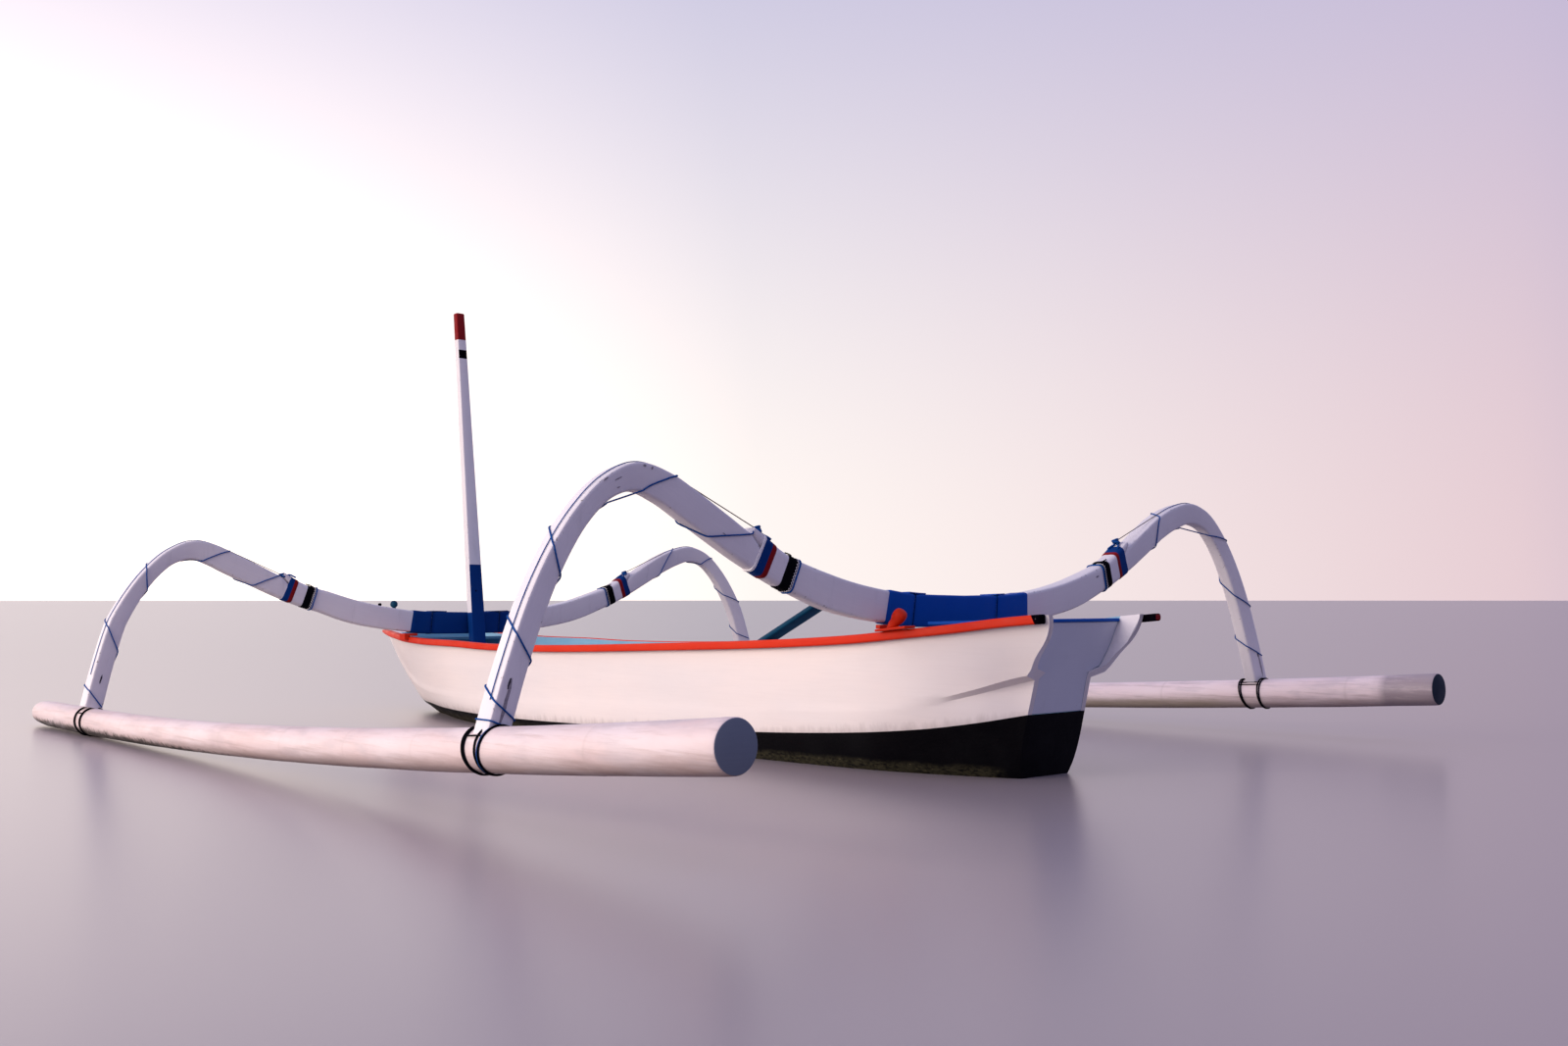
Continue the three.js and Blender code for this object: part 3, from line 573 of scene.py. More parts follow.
def outer_rows(x):
    """Half section from the keel to the sheer: below the paint line, up to the crease, and above."""
    s = station(x)
    keel, bilge = np.array((0, s[KEEL_Z])), np.array((s[BILGE_Y], s[BILGE_Z]))
    turn = np.array((s[BILGE_Y] * 0.62, blend(s[KEEL_Z], s[BILGE_Z], 0.32)))
    at_paint = np.array((s[PAINT_Y], s[PAINT_Z]))
    under = np.array((s[CREASE_Y] - s[STEP], s[CREASE_Z] - 10))
    crease = np.array((s[CREASE_Y], s[CREASE_Z] + 6))
    middle = np.array((blend(s[CREASE_Y], s[SHEER_Y], 0.55), blend(s[CREASE_Z], s[SHEER_Z], 0.5)))
    sheer = np.array((s[SHEER_Y], s[SHEER_Z]))
    beyond = crease if s[STEP] < 4 else 2 * under - at_paint
    lower = curve([turn * (-1, 1), keel, turn, bilge, at_paint, under, beyond], 8)
    bottom, side = cut_at(lower, paint_line(x))
    top = curve([under + (s[STEP], 0), crease, middle, sheer, 2 * sheer - middle], 10)
    return spread(bottom, LOW_ROWS), np.vstack([spread(side, MIDDLE_ROWS), spread(top, TOP_ROWS)])


def inner_rows(x, inset=WALL):
    s = station(x)

    def narrow(y):
        return max(y - inset, 4)

    rise = 22 + inset - WALL
    keel = s[KEEL_Z] + 45 + inset - WALL
    bilge = s[BILGE_Z] + rise
    points = np.array([
        (0, keel),
        (narrow(s[BILGE_Y] * 0.62), blend(keel, bilge, 0.32)),
        (narrow(s[BILGE_Y]), bilge),
        (narrow(s[PAINT_Y]), max(s[PAINT_Z], bilge + 4)),
        (narrow(s[CREASE_Y] - s[STEP]), s[CREASE_Z] - 10 + rise),
        (narrow(s[CREASE_Y]), s[CREASE_Z] + 6 + rise),
        (narrow(blend(s[CREASE_Y], s[SHEER_Y], 0.55)), blend(s[CREASE_Z], s[SHEER_Z], 0.5)),
        (narrow(s[SHEER_Y]), s[SHEER_Z]),
    ], float)
    bottom, side = cut_at(points, paint_line(x))
    return spread(bottom, LOW_ROWS), spread(side, MIDDLE_ROWS + TOP_ROWS)


def stern_face(z):
    return -2316 - 0.275 * z


WING_LOW = 306
WING = through([(-2401, WING_LOW), (-2432, 330), (-2470, 380), (-2528, 440), (-2556, 490), (-2565, 540),
                (-2566, 600)], 4)


def wing_end(z):
    return stern_face(z) if z < WING_LOW else float(np.interp(z, WING[:, 1], WING[:, 0]))


def row_ends(rows_at, end_of):
    """Where each row of the sections meets a shaped stern end."""
    ends = []
    for r in range(len(rows_at(PLAIN_FROM))):
        x = PLAIN_FROM
        for _ in range(14):
            x = end_of(rows_at(x)[r][1])
        ends.append(x)
    return ends


def stern_rows(rows_at, end_of, count):
    """Sections forward from a shaped stern end, half of them up to the transom's face."""
    ends = row_ends(rows_at, end_of)
    faces = [max(a, b) for a, b in zip(ends, row_ends(rows_at, stern_face))]
    made = []
    for i in range(count):
        t = 2 * i / count
        xs = [blend(a, b, t) if t < 1 else blend(b, PLAIN_FROM, t - 1) for a, b in zip(ends, faces)]
        made.append([(x, *rows_at(x)[r]) for r, x in enumerate(xs)])
    return np.array(made)


def with_x(x, rows):
    return np.array([(x, y, z) for y, z in rows])


HULL_XS = steps(PLAIN_FROM, WELL_FORE, 74)
STERN_COUNT = 16

# Sides: outer skin, sheer, inner skin
outer_stern = stern_rows(lambda x: outer_rows(x)[1], wing_end, STERN_COUNT)
inner_stern = stern_rows(lambda x: inner_rows(x)[1], wing_end, STERN_COUNT)
for side_name, side in SIDES:
    rings, lows = [], []
    sections = list(zip(outer_stern, inner_stern))
    sections += [(with_x(x, outer_rows(x)[1]), with_x(x, inner_rows(x)[1])) for x in HULL_XS]
    for x in (WELL_FORE, STEM_AFT):
        outer = with_x(x, outer_rows(x)[1])
        inner = with_x(x, inner_rows(WELL_FORE)[1]) * (1, 0, 1) + (0, 0.2, 0)
        inner[:, 2] = np.linspace(outer[0, 2], outer[-1, 2], len(inner))
        sections.append((outer, inner))
    for outer, inner in sections:
        ring = np.vstack([outer, inner[::-1]])
        rings.append(ring * (1, side, 1))
        lows += [clamp01(1 - (p[2] - outer[0, 2]) / 130) for p in outer] + [0.0] * len(inner)
    outer_count = len(sections[0][0])

    def side_paint(i, j):
        if j == outer_count - 1 or j < 0 or j >= outer_count and i < STERN_COUNT // 2:
            return 2
        return 1 if j >= outer_count else 0

    piece(f"hull_side_{side_name}", loft(rings), [HULL, SKY, WHITE], [f"side_{side_name}"],
          pick=side_paint, masks={"low": lows}, sharp=28)

# Bottom: outer skin and the hollow inside, flat on top where the hull is solid
bottom_stern = stern_rows(lambda x: outer_rows(x)[0], stern_face, 12)[6:]
wall_ends = row_ends(lambda x: inner_rows(x)[0], lambda z: stern_face(z) + STERN_THICKNESS)
stern_wall = np.array([(x, *inner_rows(x)[0][r]) for r, x in enumerate(wall_ends)])


def bottom_ring(outer, inner):
    return np.vstack([outer[::-1], outer[1:] * (1, -1, 1), inner * (1, -1, 1), inner[::-1][1:]])


def flat_top(x, half, z):
    """A level line from the starboard side to the middle, in place of the hollow."""
    return np.array([(x, half * (1 - k / LOW_ROWS), z) for k in range(LOW_ROWS + 1)])


rings = []
for k in range(7):
    t = k / 6
    outer = bottom_stern[k] if k < 6 else with_x(PLAIN_FROM, outer_rows(PLAIN_FROM)[0])
    x = blend(bottom_stern[0][-1][0], stern_wall[-1][0], t)
    rings.append(bottom_ring(outer, flat_top(x, stern_wall[-1][1], paint_line(x))))
rings.append(bottom_ring(with_x(PLAIN_FROM, outer_rows(PLAIN_FROM)[0]), stern_wall[::-1]))
for x in HULL_XS:
    rings.append(bottom_ring(with_x(x, outer_rows(x)[0]), with_x(x, inner_rows(x)[0])[::-1]))
for x in [WELL_FORE, *steps(2260, 2412, 5)]:
    outer = with_x(x, outer_rows(x)[0])
    rings.append(bottom_ring(outer, flat_top(x, max(outer[-1][1] - 24, 3), outer[-1][2])))
skin = 2 * LOW_ROWS
piece("hull_bottom", loft(rings), [BOTTOM, SKY],
      ["dugout_stern", "dugout_aft", "dugout_middle", "dugout_fore", "dugout_bow"],
      pick=lambda i, j: 1 if j > skin else 0, sharp=40)

# Stem: solid up to the beak
rings = []
for x in [STEM_AFT + 0.3, *steps(2310, STEM_END, 26)]:
    outer = with_x(x, outer_rows(x)[1])
    rings.append(np.vstack([outer[::-1], outer * (1, -1, 1)]))
piece("stem", loft(rings), HULL, ["stem_block"], sharp=45)


def inner_half(x, z, inset=24.3):
    """Half the width of the hollow at a height."""
    low, high = inner_rows(x, inset)
    rows = np.vstack([low, high])
    return float(np.interp(z, rows[:, 1], rows[:, 0]))


# Transom between the wings, in a greyer blue-white than the other white paint: painted shade of its aft face
TRANSOM_TOP = 508
levels = steps(paint_line(-2363) + 1, TRANSOM_TOP, 16)
faces = []
for thickness in (0, STERN_THICKNESS):
    ring = [(stern_face(z) + thickness, side * inner_half(stern_face(z) + thickness, z), z)
            for side, zs in ((1, levels), (-1, levels[::-1])) for z in zs]
    faces.append(ring)
piece("transom_board", loft(faces), SHADED_WHITE, ["transom"], bevel=3)


def board(x0, x1, low, high, gap=0.0, count=6):
    """A board across the hull, as wide as the hollow is at each place."""
    middle = (low + high) / 2
    rings = []
    for x in steps(x0, x1, count):
        half = inner_half(x, middle) - gap
        rings.append([(x, -half, low), (x, half, low), (x, half, high), (x, -half, high)])
    return loft(rings)


piece("stern_top", board(stern_face(520) - 4, -2060, 508.3, 521, 1), ROYAL,
      ["stern_board"], bevel=4)
DECK_BOARDS = steps(1990, 2229.7, 3)
piece("bow_deck", joined([board(a, b - 2, 490, 506, 0.5, 3) for a, b in zip(DECK_BOARDS, DECK_BOARDS[1:])]),
      SKY, ["foredeck"], bevel=2.5)
THWARTS = (
    # name, x, half length along the boat, top z
    ("aft", -950, 90, 446),
    ("middle", 300, 100, 300),
    ("fore", 1200, 90, 330),
)
for name, x, half, top in THWARTS:
    piece(f"seat_board_{name}", board(x - half, x + half, top - 22, top, 0.5), SKY,
          [f"thwart_{name}"], bevel=4)

# Rails on the sheer, black at their aft ends; the end face itself is red to starboard
RAIL_FORE, TAPER_FROM = 2720, 2250
RAILS = (
    # side name, side, aft end, where the black end begins, the end face's paint
    ("port", 1, -2552, -2532, 1),
    ("starboard", -1, -2626, -2545, 2),
)
BLACK_SLANT = 26
for name, side, aft, black, face in RAILS:
    rings = []
    xs = [aft, aft + 1.5, aft + 5, blend(aft, black, 0.6), black,
          *steps(black + 34, RAIL_FORE - 8, 72), RAIL_FORE - 2, RAIL_FORE]
    for x in xs:
        end = min(abs(x - aft), abs(x - RAIL_FORE))
        shrink = 3.5 * (1 - math.sqrt(1 - (1 - min(end / 5, 1)) ** 2))
        sunk = 0 if side > 0 else 6 * smooth((-2200 - x) / 200)
        slim = smooth((x - TAPER_FROM) / (RAIL_FORE - TAPER_FROM))
        low, high = blend(-30, -12, slim) + shrink, 4 - shrink - sunk
        corners = [(0.3, low), (34 - shrink, low), (34 - shrink, high), (0.3, high)]
        outline, _ = rounded(corners, [2, blend(9, 5, slim), blend(10, 6, slim), 3], 5)
        ring = []
        for p in outline:
            place = x + (BLACK_SLANT * (1 - (p[0] - p[1]) / 64) if x == black else 0)
            s, ahead = station(place), station(place + 5)
            skew = math.hypot(1, (ahead[SHEER_Y] - s[SHEER_Y]) / 5)
            ring.append((place, side * (s[SHEER_Y] + p[0] * skew), s[SHEER_Z] + p[1]))
        rings.append(ring)
    piece(f"gunwale_{name}", loft(rings), [ORANGE, BLACK, RED],
          [f"rail_{name}_{part}" for part in ("aft", "middle", "fore")],
          pick=lambda i, j, face=face: face if i < 0 else (1 if i < 4 else 0), sharp=40)

# Beams and arms, on one spine from the centreline out to the foot
SPINE = np.array([
    # y, z, depth
    (0, 562, 114), (300, 568, 117), (440, 582, 120), (600, 605, 123), (735, 634, 125), (870, 676, 121),
    (985, 718, 117), (1070, 754, 113), (1149, 791, 110), (1255, 850, 109), (1385, 923, 110),
    (1500, 983, 106), (1612, 1012, 95), (1725, 974, 78), (1825, 887, 75), (1915, 766, 80),
    (2005, 597, 86), (2090, 380, 89), (2126, 274, 90), (2162, 165, 90), (2200, 50, 90),
], float)
FRAMES = {"aft": (-BEAM_X, 0), "fore": (BEAM_X, 24)}
ARMS = {
    # lift of the crown, how far the crown and the foot stand out
    "aft_port": (0, 0, 0),
    "aft_starboard": (5, 88, 88),
    "fore_port": (-36, 1, -51),
    "fore_starboard": (9, 64, 30),
}
LAPS = {
    # the lap's two ends, the black band's, and the blue band's with the red part's outer end between
    "aft_port": (955, 1147, 921, 969, 1030, 1052, 1085),
    "aft_starboard": (987, 1162, 953, 999, 1058, 1075, 1122),
    "fore_port": (1002, 1160, 968, 1015, 1071, 1093, 1121),
    "fore_starboard": (1015, 1184, 981, 1032, 1087, 1110, 1147),
}
COVERS = {"aft": (-399, 446), "fore": (-420, 379)}
COVER_SEAMS = {"aft": (-194, 301), "fore": (-190, 255)}
COVER_BOARDS = {"aft": ((237, 332), (-247, -191)), "fore": ((161, 249), (-253, -128))}
LOOPS = {"port": (50, -28), "starboard": (42, -53)}
LAP_PROUD = 24
TOP_HALF, BOTTOM_HALF = 43, 28


def spine_table():
    """The spine's points, on the same centripetal curve as in the CAD source."""
    p = np.vstack([2 * SPINE[0] - SPINE[1], SPINE, 2 * SPINE[-1] - SPINE[-2]])
    out = []
    for i in range(len(SPINE) - 1):
        a, b, c, d = p[i:i + 4]
        t0, t1, t2 = (np.linalg.norm(v - u) ** 0.5 for u, v in ((a, b), (b, c), (c, d)))
        m1 = t1 * ((b - a) / t0 - (c - a) / (t0 + t1) + (c - b) / t1)
        m2 = t1 * ((c - b) / t1 - (d - b) / (t1 + t2) + (d - c) / t2)
        for w in np.arange(60) / 60:
            out.append(b + m1 * w + (3 * (c - b) - 2 * m1 - m2) * w * w + (2 * (b - c) + m1 + m2) * w ** 3)
    out.append(SPINE[-1])
    return np.array(out)


SPINE_POINTS = spine_table()


def arm_table(key):
    end, _ = key.split("_")
    lift, crown, foot = ARMS[key]
    y, z, depth = SPINE_POINTS.T
    out = crown * np.clip((y - 1400) / 300, 0, 1) + (foot - crown) * np.clip((y - 1985) / 175, 0, 1)
    beam_lift = FRAMES[end][1]
    return np.stack([y + out, z + beam_lift + (lift - beam_lift) * np.clip((y - 900) / 550, 0, 1), depth], 1)


ARM_TABLES = {key: arm_table(key) for key in ARMS}


def key_of(y, end):
    return f"{end}_{'port' if y > 0 else 'starboard'}"


def parts_of(key):
    end, side_name = key.split("_")
    return end, side_name, dict(SIDES)[side_name]


def on_table(y, end, column):
    table = ARM_TABLES[key_of(y, end)]
    return np.interp(abs(y), table[:, 0], table[:, column])


def spine_at(y, end):
    """Centre, upward normal and depth of the beam or arm at a distance from the centreline."""
    point, ahead = (np.array([at, on_table(at, end, 1)]) for at in (y, y + 2))
    depth = float(on_table(y, end, 2))
    way = ahead - point
    normal = np.array([-way[1], way[0]]) / np.linalg.norm(way)
    return point, normal, depth


def on_spine(y, end, across, up):
    """A point beside the spine: across is along the boat, up is out of the upper face."""
    point, normal, _ = spine_at(y, end)
    return np.array([FRAMES[end][0] + across, point[0] + normal[0] * up, point[1] + normal[1] * up])


def proud(y, end):
    return LAP_PROUD * clamp01((abs(y) - LAPS[key_of(y, end)][0] - 30) / 130)


def on_lap(y, end):
    return abs(y) < LAPS[key_of(y, end)][1]


def wood_top(y, end):
    """Height of the wood's upper face over the spine's centre."""
    return spine_at(y, end)[2] / 2 + (proud(y, end) if on_lap(y, end) else 0)


def scarf(y, end):
    inner, outer = LAPS[key_of(y, end)][:2]
    return spine_at(y, end)[2] * blend(-0.2, 0.5, clamp01((abs(y) - inner) / (outer - inner)))


def collar(y, end):
    """How near a place is to the lap, from 0 to 1."""
    return clamp01(1.6 - abs(abs(y) - LAPS[key_of(y, end)][0] - 45) / 150)


def half_at(level, depth, top):
    """Half width of the section at a level between its narrow inner face and its wide outer one."""
    return blend(BOTTOM_HALF, TOP_HALF, clamp01((level + depth / 2) / max(top + depth / 2, 1)))


def spine_ring(y, end, bottom=None, top=None, grow=0.0, lapped=False, corner=None, count=4):
    point, normal, depth = spine_at(y, end)
    full_top = depth / 2 + (proud(y, end) if lapped else 0)
    high = full_top + grow if top is None else top
    low = -depth / 2 - grow if bottom is None else bottom
    wide = half_at(high - grow, depth, full_top) + grow
    narrow = half_at(low + grow, depth, full_top) + grow
    r = blend(13, 26, collar(y, end)) if corner is None else corner
    r_low = min(r * 0.8, (high - low) * 0.45)
    r_high = min(r, (high - low) * 0.45)
    corners = [(-narrow, low), (narrow, low), (wide, high), (-wide, high)]
    outline, edge = rounded(corners, [r_low, r_low, r_high, r_high], count)
    ring = [(FRAMES[end][0] + p[0], point[0] + normal[0] * p[1], point[1] + normal[1] * p[1])
            for p in outline]
    return ring, edge


def sweep(ys, end, **how):
    rings, edges = [], []
    for y in ys:
        options = {key: value(y) if callable(value) else value for key, value in how.items()}
        ring, edge = spine_ring(y, end, **options)
        rings.append(ring)
        edges += edge
    return rings, edges


def sleeve(ys, end, thickness, lapped=True, rise=2.0):
    """A closed sleeve round the beam, rounded at both ends."""
    a, b = ys[0], ys[-1]
    rings = []
    for y in ys:
        t = clamp01(min(abs(y - a), abs(y - b)) / rise)
        grow = 0.4 + (thickness - 0.4) * math.sqrt(1 - (1 - t) ** 2)
        rings.append(spine_ring(y, end, grow=grow, lapped=lapped)[0])
    inside = [spine_ring(y, end, grow=0.2, lapped=lapped)[0] for y in (b, a)]
    rings = [inside[1], *rings, inside[0], inside[1]]
    return loft(rings, True, False, False)


def perimeter(y, end, grow):
    """The section's outline at a distance from the centreline, its length, and its corners' places."""
    ring = np.array(spine_ring(y, end, grow=grow, lapped=on_lap(y, end))[0])
    gap = np.r_[0, np.cumsum(np.linalg.norm(np.roll(ring, -1, 0) - ring, axis=1))]
    return np.vstack([ring, ring[:1]]), gap, [gap[k] for k in (17, 2, 7, 12)]


def round_arm(turns, end, radius):
    """A path that hugs the arm: each stop is (y, turn), where turn 0 is the upper aft corner, 1 the
    lower aft one, 2 the lower fore one and 3 the upper fore one."""
    path = []
    for (y0, t0), (y1, t1) in zip(turns, turns[1:]):
        count = max(int((abs(y1 - y0) + abs(t1 - t0) * 90) / 9), 2)
        for k in range(count):
            y, t = blend(y0, y1, k / count), blend(t0, t1, k / count)
            ring, gap, corners = perimeter(y, end, radius * 0.9)
            face = int(math.floor(t)) % 4
            a, b = corners[face], corners[(face + 1) % 4]
            b += gap[-1] if b < a else 0
            at = blend(a, b, t - math.floor(t)) % gap[-1]
            path.append([np.interp(at, gap, ring[:, c]) for c in range(3)])
    return np.array(path)


def ring_round(y, end, grow, radius, strands=0):
    """A closed turn of rope round the section."""
    path = spine_ring(y, end, grow=grow + radius * 0.8, lapped=on_lap(y, end))[0]
    return tube(through(path, 9, True), radius, 8, strands, 14, True)


def on_side(ys, side):
    """Distances from the centreline as rising y values on one side."""
    return ys if side > 0 else [-y for y in ys][::-1]


def rope(name, body, material=BLUE_ROPE, nodes=()):
    piece(name, body, material, nodes, sharp=60)


# Floats: long logs toed in to the bow
FLOATS = {
    # distance out amidships, aft end, rise of the ends
    "port": (2120, -3043, 8.9),
    "starboard": (2210, -2804, 6.4),
}
FLOAT_FORE, TOE_IN = 2720, 0.0159


def float_at(x, name):
    out, _, rise = FLOATS[name]
    side = 1 if name == "port" else -1
    radius = blend(73, 65, clamp01((x + 2900) / 2900))
    radius *= 0.78 + 0.22 * math.sqrt(clamp01((FLOAT_FORE - x) / 190))
    return side * (out - TOE_IN * x), 106 + rise * (x / 1000 - 0.45) ** 2, radius


JOINTS = {
    "port": (-2480, -1500, -1010, -480, 120, 760, 1300, 1810, 2290),
    "starboard": (-2390, -1390, -860, -310, 330, 900, 1480, 2010),
}
FLOAT_PAINTS = {"port": [FLOAT, SLATE], "starboard": [FLOAT_PALE, DARK_SLATE]}
for name, side in SIDES:
    aft = FLOATS[name][1]
    xs = sorted([*steps(aft, FLOAT_FORE, 150), aft + 1.5, aft + 5, FLOAT_FORE - 2, FLOAT_FORE - 7]
                + [j + d for j in JOINTS[name] for d in (-9, -4, 0, 4, 9)])
    rings, joints, lows, patches = [], [], [], []
    for x in xs:
        y, z, r = float_at(x, name)
        end = min(abs(x - aft), abs(x - FLOAT_FORE))
        r -= 5.5 * (1 - math.sqrt(1 - (1 - min(end / 9, 1)) ** 2))
        ridge = max(math.exp(-((x - j) / 6) ** 2) for j in JOINTS[name])
        ring = []
        for a in angles(40):
            wobble = 1.1 * noise.noise(Vector((x * 0.004, 2.5 * math.cos(a), 2.5 * math.sin(a) + side)))
            rr = min(r + wobble + 0.5 * ridge, r + 0.6) if end > 12 else r
            ring.append((x, y + rr * math.cos(a), z + rr * math.sin(a)))
            joints.append(ridge)
            lows.append(clamp01(0.25 - 0.75 * math.sin(a)))
            patches.append(smooth((-2530 - x) / 50) if name == "starboard" else 0.0)
        rings.append(ring)
    piece(f"outrigger_{name}", loft(rings), FLOAT_PAINTS[name],
          [f"float_{name}_aft", f"float_{name}_fore"], pick=lambda i, j: 1 if i < 1 else 0,
          masks={"joint": joints, "low": lows, "patch": patches}, sharp=50)

BLACK_TURNS, STITCHES = 3, 64
for end, (beam_x, _) in FRAMES.items():
    for side_name, side in SIDES:
        key = f"{end}_{side_name}"
        lap_in, lap_out, black_in, black_out, red_in, red_out, blue_out = LAPS[key]
        foot = abs(float_at(beam_x, side_name)[0]) + 6

        # Arm
        ys = [*steps(lap_in + 0.6, lap_out, 14), *steps(lap_out + 12, 1500, 22), *steps(1515, 1780, 22),
              *steps(1800, foot, 34)]
        rings, edges = sweep(on_side(ys, side), end,
                             top=lambda y: scarf(y, end) - 0.15 if abs(y) < lap_out else None)
        piece(f"boom_{key}", loft(rings), ARM_WHITE, [f"arm_{key}"],
              masks={"edge": edges}, sharp=30)

        # Painted bands and rope wraps
        blue = sorted([*on_side(steps(red_in, blue_out, 12), side), side * red_out])

        def blue_or_red(i, j):
            return 1 if 0 < i < len(blue) and abs(blue[i - 1] + blue[i]) / 2 < red_out else 0

        piece(f"band_blue_{key}", sleeve(blue, end, 2.6), [NAVY, RED], [f"wrap_blue_{key}"],
              pick=blue_or_red, sharp=35)
        white = on_side(steps(black_out - 3, red_in + 3, 8), side)
        piece(f"band_white_{key}", sleeve(white, end, 1.1), ARM_WHITE, sharp=35)
        black = on_side(steps(black_in, black_out, 28), side)
        rings = []
        for y in black:
            t = BLACK_TURNS * math.pi * (y - black[0]) / (black[-1] - black[0])
            rings.append(spine_ring(y, end, grow=1.4 + 1.5 * abs(math.sin(t)) ** 0.4, lapped=True)[0])
        inside = [spine_ring(y, end, grow=0.2, lapped=True)[0] for y in (black[-1], black[0])]
        piece(f"band_black_{key}", loft([inside[1], *rings, inside[0], inside[1]], True, False, False),
              RUBBER, [f"wrap_black_{key}"], sharp=50)
        rope(f"cord_blue_{key}", ring_round(side * (black_in - 7), end, 0, 3.4, 3))
        stitches = []
        for k in range(STITCHES):
            ring, gap, _ = perimeter(side * (black_in + (2 if k % 2 else 9)), end, 3.4)
            stitches.append([np.interp(k / STITCHES * gap[-1], gap, ring[:, c]) for c in range(3)])
        rope(f"cord_white_{key}", tube(stitches, 1.3, 6, 0, 60, True), WHITE_CORD)
        if key == "aft_port":
            frayed = joined([ring_round(blue_out + shift, end, 0, 2.9, 2) for shift in (3.5, 9)])
            rope("cord_frayed_aft_port", frayed, WHITE_CORD)

    # Beam, cut low where it laps over each arm
    inner_port, outer_port = LAPS[f"{end}_port"][:2]
    inner_starboard, outer_starboard = LAPS[f"{end}_starboard"][:2]
    ys = [*steps(-outer_starboard, -inner_starboard, 14),
          *steps(-inner_starboard + 0.5, inner_port - 0.5, 90),
          *steps(inner_port, outer_port, 14)]

    def beam_underside(y):
        return scarf(y, end) + 0.15 if y >= inner_port or y <= -inner_starboard else None

    rings, edges = sweep(ys, end, lapped=True, bottom=beam_underside)
    piece(f"crossbeam_{end}", loft(rings), WHITE, [f"beam_{end}"],
          masks={"edge": edges}, sharp=30)

    # Blue cover round the middle of the beam, with low boards on its top
    low, high = COVERS[end]
    seams = [low, *COVER_SEAMS[end], high]
    lengths = []
    for k, (a, b) in enumerate(zip(seams, seams[1:])):
        ys = steps(a, b - (0.5 if b < high else 0), 14)
        lengths.append(sleeve(ys, end, 4.2 + 0.6 * (k % 2), lapped=False, rise=1.5))
    cover_paint = ROYAL if end == "aft" else NAVY
    piece(f"cover_{end}", joined(lengths), cover_paint, [f"beam_cover_{end}"], sharp=35)
    seam_rings = joined([ring_round(y - 0.5, end, 3.6, 1.5) for y in COVER_SEAMS[end]])
    piece(f"cover_seams_{end}", seam_rings, DEEP_NAVY, sharp=60)
    boards = []
    for a, b in COVER_BOARDS[end]:
        rings = []
        for y in steps(a, b, 6):
            depth = spine_at(y, end)[2]
            rings.append(spine_ring(y, end, bottom=depth / 2 + 4.6, top=depth / 2 + 9.5, corner=2.5)[0])
        boards.append(loft(rings))
    piece(f"cover_boards_{end}", joined(boards), cover_paint, sharp=35)

# Foot lashings: turns round the float in two loops, and straps along it on both sides of the leg
STRANDS = (
    # which loop, shift along the float, slant, radius, whether it is blue
    (0, 4.5, 0.27, 3.6, False),
    (0, -4.5, 0.22, 3.4, False),
    (1, 4.5, 0.12, 3.4, False),
    (1, -4.5, 0.05, 3.4, False),
)
NEAR_STRANDS = (
    (0, 4.5, 0.27, 3.6, False),
    (0, -4.5, 0.22, 3.4, False),
    (1, 10, 0.12, 3.6, False),
    (1, -6, -0.07, 2.7, True),
    (1, -12, -0.10, 3.6, False),
)
STRAPS = (40, 128, 140)
for end, (beam_x, _) in FRAMES.items():
    for side_name, side in SIDES:
        dark, blue = [], []
        strands = NEAR_STRANDS if (end, side_name) == ("aft", "port") else STRANDS

        def on_float(loop, shift, slant, a, lift=3.8):
            x = beam_x + LOOPS[side_name][loop] + shift
            x += slant * (float_at(x, side_name)[2] + lift) * math.sin(a)
            y, z, r = float_at(x, side_name)
            return np.array([x, y + (r + lift) * math.cos(a), z + (r + lift) * math.sin(a)])

        for loop, shift, slant, radius, is_blue in strands:
            turn = [on_float(loop, shift, slant, a) for a in angles(44)]
            (blue if is_blue else dark).append(tube(turn, radius, 8, 3, 22, True))
        for degrees in STRAPS:
            a = math.radians(degrees if side > 0 else 180 - degrees)
            ends = [on_float(0, 0, 0.25, a, 3.4), on_float(1, 0, 0.08, a, 3.4)]
            dark.append(tube([blend(*ends, t) for t in steps(0, 1, 8)], 2.8, 8, 3, 22))
        key = f"{end}_{side_name}"
        rope(f"lashing_{key}", joined(dark), RUBBER, [f"foot_lashing_{key}"])
        if blue:
            rope(f"lashing_blue_{key}", joined(blue))

# Thin rope: turns round each arm, and a taut line from the knot over the crown and down the leg
TURNS = {
    # first corner, and where the rope crosses each corner in turn before and after its straight stretch;
    # it winds one way to port and the other to starboard
    "aft_port": (0, (1147, 1291, 1380, 1463, 1478, 1593),
                 (1760, 1820, 1880, 1919, 1954, 1995, 2028, 2049, 2070, 2090, 2106, 2122, 2132, 2136, 2139,
                  2140, 2141)),
    "aft_starboard": (1, (1338, 1409, 1465, 1515, 1568),
                      (1860, 1930, 1983, 2036, 2072, 2112, 2136, 2160, 2176, 2203)),
    "fore_port": (0, (1183, 1278, 1360, 1442, 1455, 1556),
                  (1556, 1680, 1799, 1826, 1875, 1930, 1984, 1996, 2025, 2055, 2072, 2078, 2095)),
    "fore_starboard": (1, (1376, 1514, 1585, 1680, 1769),
                       (1769, 1810, 1877, 1945, 1980, 2028, 2060, 2082, 2099, 2118)),
}
ROPE, TAUT = 3.0, 2.0
KNOTS = {
    # how far beyond the blue band, place across, height over the wood
    "aft_port": (28, -6, 13),
    "aft_starboard": (12, -2, 20),
    "fore_port": (40, -22, 8),
    "fore_starboard": (16, -22, 9),
}
